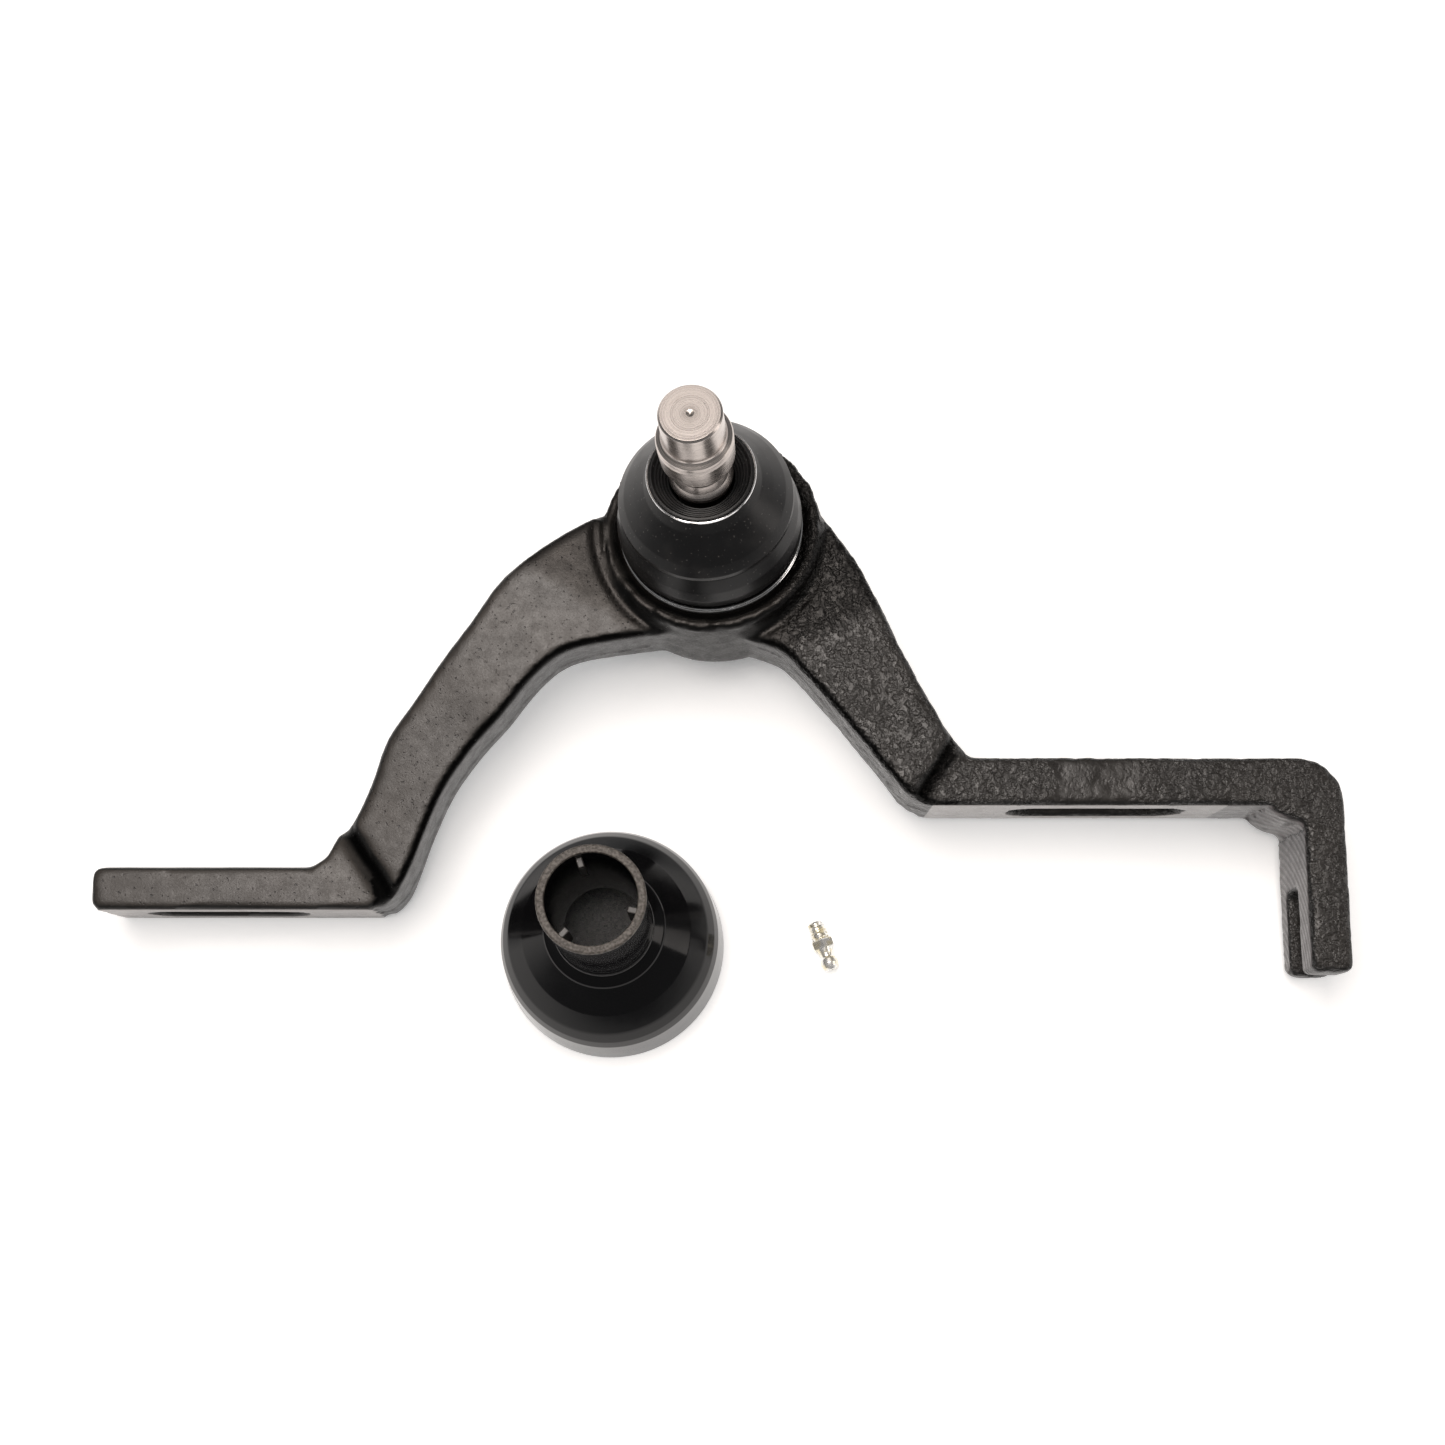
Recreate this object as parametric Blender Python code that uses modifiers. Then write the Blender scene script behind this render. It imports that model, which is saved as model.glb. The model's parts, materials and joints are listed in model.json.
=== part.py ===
"""Front upper control arm with a pinch-bolt ball joint, its loose dust shield and grease fitting.

The arm is laid out in its own frame (millimetres, z normal to the arm, y towards the ball
joint) under the empty arm_frame, which lays the arm on the floor the way it rests: on the two
bars' lower edges and on the rolled edge of the ball joint's housing.
"""
import math

import bmesh
import bpy
from mathutils import Matrix, Vector

MM = 0.001
GAP = 0.3                       # clearance between pieces that touch
MERGE = 0.00005                 # merge distance of modifiers, metres

# --- how the arm lies on the floor
REST_PITCH = math.radians(5.5)  # ball-joint end raised
REST_ROLL = math.radians(1.5)   # left end raised

# --- bars that bolt to the pivot brackets
BAR_HEIGHT = 32.0
RIGHT_BAR_FRONT = -31.3
RIGHT_BAR_BACK = -16.5
RIGHT_BAR_START = 61.5
LEG_OUTER = 189.5
LEG_INNER = 177.0
LEG_END = -82.0
CORNER_RADIUS = 13.0
LEFT_BAR_FRONT = -62.0
LEFT_BAR_BACK = -48.7
LEFT_BAR_END = -194.5
LEFT_BAR_START = -108.0
SLOT_HEIGHT = 16.4
SLOT_ABOVE_BOTTOM = 15.2        # slot centre over the bar's lower edge
RIGHT_SLOT = (89.0, 143.0)      # from, to along x
LEFT_SLOT = (-180.0, -130.5)
LEG_SLOT_START = -56.2
LEG_SLOT_HEIGHT = 11.5
LEG_SLOT_ABOVE_BOTTOM = 13.5
EDGE_ROUND = 1.3

# --- the arms: outer edge x, y; inner edge x, y; underside z; top z
LEFT_ARM = (
    (-119.6, -41.0, -105.4, -61.6, -12.0, 19.0),
    (-114.2, -36.0, -99.8, -57.0, -8.0, 24.6),
    (-111.0, -30.0, -95.4, -48.5, -3.0, 25.6),
    (-107.8, -22.4, -91.5, -38.5, -0.5, 26.5),
    (-103.4, -9.8, -85.2, -24.5, 0.5, 28.0),
    (-95.6, 1.4, -76.2, -11.8, 1.5, 29.5),
    (-87.0, 14.0, -67.8, -2.9, 3.5, 31.5),
    (-77.4, 26.8, -58.4, 8.6, 6.0, 33.0),
    (-67.4, 40.6, -47.8, 16.7, 7.0, 34.0),
    (-50.0, 53.8, -30.0, 20.4, 6.0, 34.0),
    (-32.6, 63.0, -12.0, 23.0, 4.0, 33.0),
)
RIGHT_ARM = (
    (19.8, 74.0, 2.0, 22.0, 3.0, 33.0),
    (36.3, 53.0, 17.0, 17.0, 5.0, 34.5),
    (44.6, 39.5, 24.0, 10.4, 7.0, 35.0),
    (50.8, 26.3, 33.6, -0.8, 8.5, 35.0),
    (57.0, 13.4, 41.6, -10.4, 8.5, 35.0),
    (63.4, 1.2, 50.2, -21.0, 7.0, 35.0),
    (69.6, -9.6, 56.8, -28.6, 4.0, 35.0),
    (75.0, -14.9, 63.2, -31.0, 2.0, 31.0),
)

# --- ball joint, measured along its axis from the ball's centre
JOINT_POINT = (-3.6, 55.3, 35.3)          # where the boot's clamp ring crosses the axis
JOINT_LEAN = (math.radians(-4.29), math.radians(9.46))
CLAMP_HEIGHT = 17.0                       # clamp ring over the ball's centre
BALL_RADIUS = 16.0
SHELL_THICKNESS = 2.0
NECK_RADIUS = 7.0
SHELL_OPENING = math.radians(56.0)
SHELL_SKIRT = math.radians(100.0)
HOUSING_OPENING = math.radians(53.3)
BOSS_RADIUS = 33.9
BOSS_DEPTH = 35.0
SKIRT_RADIUS = 24.0
COVER_TOP = -24.8
COVER_THICKNESS = 4.2
LIP_RADIUS = 16.6
PORT_HOLE = 3.0
STUD_LENGTH = 90.2                        # stud end over the ball's centre
COLLAR = (65.4, 76.6, 10.9, 11.3)         # from, to, lower radius, upper radius

# --- boot, measured along the axis from its clamp ring
BOOT_WALL = 2.2
BOOT_OUTSIDE = ((15.4, 37.4), (15.4, 34.6), (17.4, 31.6), (20.9, 27.6), (24.4, 23.4),
                (26.3, 20.2), (25.5, 17.4), (27.2, 13.0), (28.4, 8.0), (28.0, 3.8), (27.2, 2.0))
BOOT_MOUTH = 9.6

# --- loose dust shield, standing on the floor; places are measured from the arm frame's origin
SHIELD_PLACE = (-35.2, -70.2)
SHIELD_HEIGHT = 82.0
SHIELD_BASE = 35.4
SHIELD_SHOULDER = (34.1, 16.0)
SHIELD_NECK_FOOT = (14.7, 41.0)
SHIELD_RIM = 15.8
SHIELD_WALL = 2.6
RIB_ANGLES = tuple(math.radians(a) for a in (108, 228, 348))

# --- loose grease fitting, lying on the floor
FITTING_PLACE = (29.3, -63.2)
FITTING_TURN = math.radians(-70.5)
FITTING_FLATS = 6.35
FITTING_LENGTH = 16.0
PASSAGE = 1.4
CHECK_BALL = 1.2


def clear_scene():
    """Remove the start-up objects."""
    for thing in list(bpy.data.objects):
        bpy.data.objects.remove(thing, do_unlink=True)


def collection(name):
    """Make a collection under the scene."""
    made = bpy.data.collections.new(name)
    bpy.context.scene.collection.children.link(made)
    return made


def material(name, colour, roughness, metallic):
    """Make a plain Principled material."""
    made = bpy.data.materials.new(name)
    made.use_nodes = True
    shader = made.node_tree.nodes["Principled BSDF"]
    shader.inputs["Base Color"].default_value = (*colour, 1.0)
    shader.inputs["Roughness"].default_value = roughness
    shader.inputs["Metallic"].default_value = metallic
    made.diffuse_color = (*colour, 1.0)
    return made


def add_object(name, data, group, parent=None, finish=None):
    """Link a mesh or curve as an object."""
    made = bpy.data.objects.new(name, data)
    group.objects.link(made)
    made.parent = parent
    if finish is not None:
        data.materials.append(finish)
    return made


def as_tool(thing):
    """Mark an object that only shapes others."""
    thing.hide_render = True
    thing.display_type = "WIRE"
    return thing


def mesh_from(bm, name):
    """Turn a bmesh into a mesh with its faces pointing out."""
    bmesh.ops.remove_doubles(bm, verts=bm.verts, dist=MERGE)
    bmesh.ops.recalc_face_normals(bm, faces=bm.faces)
    mesh = bpy.data.meshes.new(name)
    bm.to_mesh(mesh)
    bm.free()
    return mesh


def turned(name, profile, group, parent=None, finish=None, steps=64, closed=False):
    """Turn a profile of (radius, height) in millimetres about the local z axis."""
    bm = bmesh.new()
    points = [bm.verts.new((r * MM, 0.0, z * MM)) for r, z in profile]
    for first, second in zip(points, points[1:]):
        bm.edges.new((first, second))
    if closed:
        bm.edges.new((points[-1], points[0]))
    mesh = bpy.data.meshes.new(name)
    bm.to_mesh(mesh)
    bm.free()
    made = add_object(name, mesh, group, parent, finish)
    screw = made.modifiers.new("Turn", "SCREW")
    screw.steps = steps
    screw.render_steps = steps
    screw.use_merge_vertices = True
    screw.merge_threshold = MERGE
    screw.use_smooth_shade = False
    return made


def arc(radius, start, stop, count, centre=(0.0, 0.0)):
    """Points (r, z) on a circle; angles are from the +z axis towards +r."""
    points = []
    for i in range(count + 1):
        angle = start + (stop - start) * i / count
        points.append((centre[0] + radius * math.sin(angle), centre[1] + radius * math.cos(angle)))
    return points


def rounded(corners, count=5):
    """Replace each (x, y, radius) corner of a closed outline by an arc."""
    outline = []
    total = len(corners)
    for i, (x, y, radius) in enumerate(corners):
        here = Vector((x, y))
        if radius == 0.0:
            outline.append(here)
            continue
        before = Vector(corners[i - 1][:2]) - here
        after = Vector(corners[(i + 1) % total][:2]) - here
        half = before.angle(after) / 2.0
        reach = radius / math.tan(half)
        middle = here + (before.normalized() + after.normalized()).normalized() * radius / math.sin(half)
        start = here + before.normalized() * reach - middle
        stop = here + after.normalized() * reach - middle
        sweep = start.angle_signed(stop)
        for k in range(count + 1):
            turn = Matrix.Rotation(-sweep * k / count, 2)
            outline.append(middle + turn @ start)
    return outline


def plate(name, outline, low, high, group, parent, edge=0.0):
    """Extrude a plan outline between two heights, with its rims rounded."""
    curve = bpy.data.curves.new(name, "CURVE")
    curve.dimensions = "2D"
    curve.fill_mode = "BOTH"
    curve.extrude = (high - low) / 2.0 * MM
    spline = curve.splines.new("POLY")
    spline.points.add(len(outline) - 1)
    for point, place in zip(spline.points, outline):
        point.co = (place[0] * MM, place[1] * MM, 0.0, 1.0)
    spline.use_cyclic_u = True
    flat = add_object(name + "_outline", curve, group)
    bpy.context.view_layer.update()
    evaluated = flat.evaluated_get(bpy.context.evaluated_depsgraph_get())
    mesh = bpy.data.meshes.new_from_object(evaluated)
    bpy.data.objects.remove(flat, do_unlink=True)
    bm = bmesh.new()
    bm.from_mesh(mesh)
    bmesh.ops.translate(bm, verts=bm.verts, vec=(0.0, 0.0, (low + high) / 2.0 * MM))
    bmesh.ops.remove_doubles(bm, verts=bm.verts, dist=MERGE)
    bmesh.ops.recalc_face_normals(bm, faces=bm.faces)
    bmesh.ops.dissolve_limit(bm, angle_limit=math.radians(1.0), verts=bm.verts, edges=bm.edges)
    bm.to_mesh(mesh)
    bm.free()
    made = add_object(name, mesh, group, parent)
    if edge > 0.0:
        bevel = made.modifiers.new("Rim", "BEVEL")
        bevel.width = edge * MM
        bevel.segments = 2
        bevel.limit_method = "ANGLE"
        bevel.angle_limit = math.radians(50.0)
    return made


def smooth_stations(stations, per_span=3):
    """Catmull-Rom points through the stations of an arm."""
    result = []
    last = len(stations) - 1
    for i in range(last):
        p0 = Vector(stations[max(i - 1, 0)])
        p1 = Vector(stations[i])
        p2 = Vector(stations[i + 1])
        p3 = Vector(stations[min(i + 2, last)])
        for k in range(per_span):
            t = k / per_span
            result.append(0.5 * (2.0 * p1 + (p2 - p0) * t + (2.0 * p0 - 5.0 * p1 + 4.0 * p2 - p3) * t * t
                                 + (3.0 * p1 - p0 - 3.0 * p2 + p3) * t ** 3))
    result.append(Vector(stations[last]))
    return result


def arm_section(station, corner=2.2, count=3):
    """Rounded rectangle across an arm, standing on its outer and inner edges."""
    outer = Vector((station[0], station[1], 0.0))
    inner = Vector((station[2], station[3], 0.0))
    across = outer - inner
    width = across.length
    across.normalize()
    corners = ((corner, station[4] + corner, 180.0), (width - corner, station[4] + corner, 270.0),
               (width - corner, station[5] - corner, 0.0), (corner, station[5] - corner, 90.0))
    points = []
    for along, height, start in corners:
        for k in range(count):
            angle = math.radians(start + 90.0 * k / (count - 1))
            place = inner + across * (along + corner * math.cos(angle))
            points.append((place.x * MM, place.y * MM, (height + corner * math.sin(angle)) * MM))
    return points


def loft_arm(name, stations, group, parent):
    """Skin one arm through its stations."""
    bm = bmesh.new()
    rings = [[bm.verts.new(p) for p in arm_section(s)] for s in smooth_stations(stations)]
    for first, second in zip(rings, rings[1:]):
        for i in range(len(first)):
            j = (i + 1) % len(first)
            bm.faces.new((first[i], first[j], second[j], second[i]))
    bm.faces.new(rings[0])
    bm.faces.new(rings[-1])
    return add_object(name, mesh_from(bm, name), group, parent)


def box(name, low, high, group, parent=None, finish=None):
    """A block between two corners in millimetres."""
    bm = bmesh.new()
    bmesh.ops.create_cube(bm, size=1.0)
    size = [(b - a) * MM for a, b in zip(low, high)]
    middle = [(a + b) / 2.0 * MM for a, b in zip(low, high)]
    bmesh.ops.scale(bm, verts=bm.verts, vec=size)
    bmesh.ops.translate(bm, verts=bm.verts, vec=middle)
    return add_object(name, mesh_from(bm, name), group, parent, finish)


def slot_cutter(name, span, height, middle, front, back, group, parent):
    """A round-ended slot through a bar, along y."""
    bm = bmesh.new()
    radius = height / 2.0
    outline = []
    for centre, start in ((span[1] - radius, -90.0), (span[0] + radius, 90.0)):
        for k in range(13):
            angle = math.radians(start + 15.0 * k)
            outline.append((centre + radius * math.cos(angle), middle + radius * math.sin(angle)))
    near = [bm.verts.new((x * MM, front * MM, z * MM)) for x, z in outline]
    face = bm.faces.new(near)
    grown = bmesh.ops.extrude_face_region(bm, geom=[face])
    moved = [v for v in grown["geom"] if isinstance(v, bmesh.types.BMVert)]
    bmesh.ops.translate(bm, verts=moved, vec=(0.0, (back - front) * MM, 0.0))
    return add_object(name, mesh_from(bm, name), group, parent)


def combine(target, other, operation):
    """Add a Boolean modifier to the target."""
    step = target.modifiers.new(other.name, "BOOLEAN")
    step.operation = operation
    step.object = as_tool(other)
    step.solver = "EXACT"


def rest_matrix():
    """The turn that lays the arm on the floor."""
    return Matrix.Rotation(REST_PITCH, 4, "X") @ Matrix.Rotation(REST_ROLL, 4, "Y")


def floor_below(x, y):
    """Height of the floor under a point of the arm, in the arm's frame."""
    rise = math.tan(REST_ROLL) * (x - LEG_OUTER)
    fall = math.tan(REST_PITCH) / math.cos(REST_ROLL) * (y - LEG_END)
    return rise - fall


def joint_axis():
    """Unit vector of the ball joint's axis in the arm's frame."""
    return Vector((math.tan(JOINT_LEAN[0]), math.tan(JOINT_LEAN[1]), 1.0)).normalized()


def ball_centre():
    """Centre of the ball in the arm's frame, millimetres."""
    return Vector(JOINT_POINT) - joint_axis() * CLAMP_HEIGHT


def housing_bottom():
    """How far the housing reaches below the ball's centre for its rolled edge to meet the floor."""
    up = rest_matrix().to_3x3().transposed() @ Vector((0.0, 0.0, 1.0))
    centre = ball_centre()
    height = (centre.z - floor_below(centre.x, centre.y)) * up.z
    lean = joint_axis().angle(up)
    return -(height - (SKIRT_RADIUS - 1.5) * math.sin(lean)) / math.cos(lean)


def build_forging(parts, tools, arm_frame, joint, finish):
    """The forged arm: two bars, a leg, two arms and the ball joint's housing."""
    left_low = floor_below(LEFT_BAR_END, LEFT_BAR_FRONT)
    left_high = left_low + BAR_HEIGHT
    right_outline = rounded((
        (RIGHT_BAR_START, RIGHT_BAR_FRONT, 0.0), (166.5, RIGHT_BAR_FRONT, 0.0), (168.5, -34.0, 0.0),
        (172.5, -36.0, 0.0), (176.0, -36.6, 0.0), (LEG_INNER, -39.2, 0.0), (LEG_INNER, LEG_END, 2.0),
        (LEG_OUTER, LEG_END, 2.0), (LEG_OUTER, RIGHT_BAR_BACK, CORNER_RADIUS),
        (75.5, RIGHT_BAR_BACK, 0.0), (70.0, -13.0, 0.0), (RIGHT_BAR_START - 1.0, -24.0, 0.0)))
    left_outline = rounded((
        (LEFT_BAR_END, LEFT_BAR_FRONT, 3.0), (LEFT_BAR_START, LEFT_BAR_FRONT, 0.0),
        (-104.5, -56.0, 0.0), (-113.0, -40.0, 0.0), (-115.6, -37.4, 0.0), (-118.8, -38.8, 2.0),
        (-122.4, -45.6, 1.0), (-127.0, LEFT_BAR_BACK, 0.0),
        (LEFT_BAR_END, LEFT_BAR_BACK, 3.0)))
    forging = plate("arm_forging", right_outline, 0.0, BAR_HEIGHT, parts, arm_frame, EDGE_ROUND)
    forging.data.materials.append(finish)
    left = plate("left_bar", left_outline, left_low, left_high, tools, arm_frame, EDGE_ROUND)
    combine(forging, loft_arm("right_arm", RIGHT_ARM, tools, arm_frame), "UNION")
    bottom = housing_bottom()
    boss = (
        [(0.0, CLAMP_HEIGHT + 3.4), (22.6, CLAMP_HEIGHT + 3.4), (23.4, CLAMP_HEIGHT + 2.6),
         (23.4, CLAMP_HEIGHT - 3.2), (29.4, CLAMP_HEIGHT - 3.2), (30.4, CLAMP_HEIGHT - 1.3),
         (32.3, CLAMP_HEIGHT - 1.3), (BOSS_RADIUS, CLAMP_HEIGHT - 3.2),
         (BOSS_RADIUS - 0.6, CLAMP_HEIGHT - BOSS_DEPTH + 4.0), (BOSS_RADIUS - 4.0, CLAMP_HEIGHT - BOSS_DEPTH),
         (SKIRT_RADIUS + 1.0, CLAMP_HEIGHT - BOSS_DEPTH - 4.0), (SKIRT_RADIUS, bottom + 3.0),
         (SKIRT_RADIUS - 1.5, bottom), (0.0, bottom)])
    combine(forging, loft_arm("left_arm", LEFT_ARM, tools, arm_frame), "UNION")
    combine(forging, left, "UNION")
    pocket = [(0.0, CLAMP_HEIGHT + 30.0), (BOSS_RADIUS + 0.9, CLAMP_HEIGHT + 30.0),
              (BOSS_RADIUS + 0.9, CLAMP_HEIGHT - 4.2), (0.0, CLAMP_HEIGHT - 4.2)]
    combine(forging, turned("boot_clearance", pocket, tools, joint, steps=48), "DIFFERENCE")
    combine(forging, turned("boss", boss, tools, joint, steps=48), "UNION")
    seat = BALL_RADIUS + GAP + SHELL_THICKNESS + GAP
    mouth = [(0.0, CLAMP_HEIGHT + 8.0), (20.4, CLAMP_HEIGHT + 8.0), (20.4, CLAMP_HEIGHT + 1.0),
             (17.4, CLAMP_HEIGHT - 3.0)]
    socket = (mouth + arc(seat, HOUSING_OPENING, math.pi / 2.0, 8)
              + [(seat, COVER_TOP - COVER_THICKNESS - GAP), (LIP_RADIUS, COVER_TOP - COVER_THICKNESS - GAP),
                 (LIP_RADIUS, bottom - 6.0), (0.0, bottom - 6.0)])
    combine(forging, turned("socket", socket, tools, joint, steps=40), "DIFFERENCE")
    right_slot = slot_cutter("right_slot", RIGHT_SLOT, SLOT_HEIGHT, SLOT_ABOVE_BOTTOM,
                             RIGHT_BAR_FRONT - 5.0, RIGHT_BAR_BACK + 5.0, tools, arm_frame)
    combine(forging, right_slot, "DIFFERENCE")
    left_slot = slot_cutter("left_slot", LEFT_SLOT, SLOT_HEIGHT, left_low + SLOT_ABOVE_BOTTOM,
                            LEFT_BAR_FRONT - 5.0, LEFT_BAR_BACK + 5.0, tools, arm_frame)
    combine(forging, left_slot, "DIFFERENCE")
    leg_slot = box("leg_slot", (LEG_INNER - 5.0, LEG_END - 5.0, LEG_SLOT_ABOVE_BOTTOM - LEG_SLOT_HEIGHT / 2.0),
                   (LEG_OUTER + 5.0, LEG_SLOT_START, LEG_SLOT_ABOVE_BOTTOM + LEG_SLOT_HEIGHT / 2.0),
                   tools, arm_frame)
    combine(forging, leg_slot, "DIFFERENCE")


def build_joint(parts, joint, finishes):
    """The ball joint's inside, its stud, boot and rings, all turned about its axis."""
    low, high, lower_radius, upper_radius = COLLAR
    neck_angle = math.asin(NECK_RADIUS / BALL_RADIUS)
    stud = ([(0.0, STUD_LENGTH), (8.2, STUD_LENGTH), (8.9, STUD_LENGTH - 0.8), (9.6, high + 1.2),
             (10.2, high + 0.3), (upper_radius - 0.4, high), (upper_radius, high - 0.6),
             (lower_radius, low + 0.6), (lower_radius - 0.6, low), (8.0, low - 1.2), (7.6, low - 4.5),
             (8.0, low - 8.0), (8.9, CLAMP_HEIGHT + 36.6), (8.9, CLAMP_HEIGHT + 33.0), (NECK_RADIUS, 30.0),
             (NECK_RADIUS, 20.0)] + arc(BALL_RADIUS, neck_angle, math.pi, 14))
    turned("ball_stud", stud, parts, joint, finishes["steel"], steps=40)
    inside = BALL_RADIUS + GAP
    shell = (arc(inside + SHELL_THICKNESS, SHELL_OPENING, SHELL_SKIRT, 7)
             + arc(inside, SHELL_SKIRT, SHELL_OPENING, 7))
    turned("upper_bearing", shell, parts, joint, finishes["polymer"], steps=40, closed=True)
    bore = inside + SHELL_THICKNESS - 0.1
    rim = math.radians(130.0)
    lower = ([(bore, inside * math.cos(rim)), (bore, COVER_TOP + 3.8), (2.5, COVER_TOP + 3.8)]
             + arc(inside, math.pi - math.asin(2.5 / inside), rim, 8))
    turned("lower_bearing", lower, parts, joint, finishes["polymer"], steps=40, closed=True)
    washer = [(8.0, COVER_TOP + 3.5), (17.6, COVER_TOP + 2.1), (17.6, COVER_TOP + 0.3),
              (8.0, COVER_TOP + 1.7)]
    turned("preload_washer", washer, parts, joint, finishes["spring"], steps=36, closed=True)
    cover_low = COVER_TOP - COVER_THICKNESS
    cover = [(PORT_HOLE, COVER_TOP), (bore, COVER_TOP), (bore, cover_low), (7.5, cover_low),
             (6.6, cover_low - 3.6), (PORT_HOLE, cover_low - 3.6)]
    turned("cover_plate", cover, parts, joint, finishes["cover"], steps=36, closed=True)
    build_boot(parts, joint, finishes)


def build_boot(parts, joint, finishes):
    """The rubber boot, its two-turn clamp ring and its neck ring."""
    outside = [(r, z + CLAMP_HEIGHT) for r, z in BOOT_OUTSIDE]
    foot = [(27.2, CLAMP_HEIGHT - 2.0), (28.4, CLAMP_HEIGHT - 2.3), (28.4, CLAMP_HEIGHT - 2.8),
            (23.8, CLAMP_HEIGHT - 2.8), (23.8, CLAMP_HEIGHT + 3.0)]
    inside = [(r - BOOT_WALL, z + CLAMP_HEIGHT - 0.6) for r, z in reversed(BOOT_OUTSIDE[3:-1])]
    lip = [(BOOT_MOUTH, CLAMP_HEIGHT + 32.6), (BOOT_MOUTH, CLAMP_HEIGHT + 35.4),
           (14.6, CLAMP_HEIGHT + 37.4)]
    turned("dust_boot", outside + foot + inside + lip, parts, joint, finishes["rubber"], steps=48, closed=True)
    wire = 0.45
    pitch = 1.2
    turns = 1.92
    count = 72
    curve = bpy.data.curves.new("boot_clamp_ring", "CURVE")
    curve.dimensions = "3D"
    curve.bevel_depth = wire * MM
    curve.bevel_resolution = 1
    curve.use_fill_caps = True
    spline = curve.splines.new("POLY")
    spline.points.add(count)
    for i, point in enumerate(spline.points):
        angle = math.tau * turns * i / count
        height = CLAMP_HEIGHT + pitch * turns * (i / count - 0.5)
        point.co = (28.0 * math.cos(angle) * MM, 28.0 * math.sin(angle) * MM, height * MM, 1.0)
    add_object("boot_clamp_ring", curve, parts, joint, finishes["bright"])
    section = 0.35
    ring = [(16.05 + section * math.cos(a), CLAMP_HEIGHT + 36.4 + section * math.sin(a))
            for a in (-math.tau * k / 6 for k in range(6))]
    turned("boot_neck_ring", ring, parts, joint, finishes["bright"], steps=40, closed=True)


def build_shield(parts, tools, finish):
    """The loose bell-shaped dust shield with three ribs in its neck."""
    outer_r, outer_z = SHIELD_SHOULDER
    foot_r, foot_z = SHIELD_NECK_FOOT
    outside = ([(SHIELD_RIM - 0.4, SHIELD_HEIGHT), (SHIELD_RIM, SHIELD_HEIGHT - 0.6),
                (foot_r, foot_z), (foot_r + 0.6, foot_z - 2.4), (foot_r + 3.7, foot_z - 5.0),
                (26.0, 28.6), (31.0, 22.8), (33.1, 19.4), (outer_r, outer_z), (SHIELD_BASE, 0.6),
                (SHIELD_BASE - 0.3, 0.0)])
    wall = SHIELD_WALL
    inside = [(SHIELD_BASE - wall, 0.0), (outer_r - wall, outer_z - 1.0), (31.0 - wall, 20.2),
              (26.0 - wall, 25.8), (foot_r + 1.2, foot_z - 8.0), (foot_r - wall, foot_z - 5.5),
              (foot_r - wall, foot_z), (SHIELD_RIM - 3.0, SHIELD_HEIGHT - 0.3),
              (SHIELD_RIM - 2.7, SHIELD_HEIGHT)]
    shield = turned("dust_shield", outside + inside, parts, None, finish, steps=54, closed=True)
    for number, angle in enumerate(RIB_ANGLES):
        rib = box("shield_rib_%d" % number, (10.4, -1.1, SHIELD_HEIGHT - 18.0),
                  (13.6, 1.1, SHIELD_HEIGHT - 4.5), tools)
        rib.data.transform(Matrix.Rotation(angle, 4, "Z"))
        rib.parent = shield
        combine(shield, rib, "UNION")
    return shield


def hexagon(flats, low, high, name, group, parent):
    """A hexagonal prism about the local z axis, standing on one of its flats."""
    bm = bmesh.new()
    bmesh.ops.create_cone(bm, cap_ends=True, segments=6, radius1=flats / math.sqrt(3.0) * MM,
                          radius2=flats / math.sqrt(3.0) * MM, depth=(high - low) * MM)
    bmesh.ops.translate(bm, verts=bm.verts, vec=(0.0, 0.0, (low + high) / 2.0 * MM))
    return add_object(name, mesh_from(bm, name), group, parent)


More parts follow.
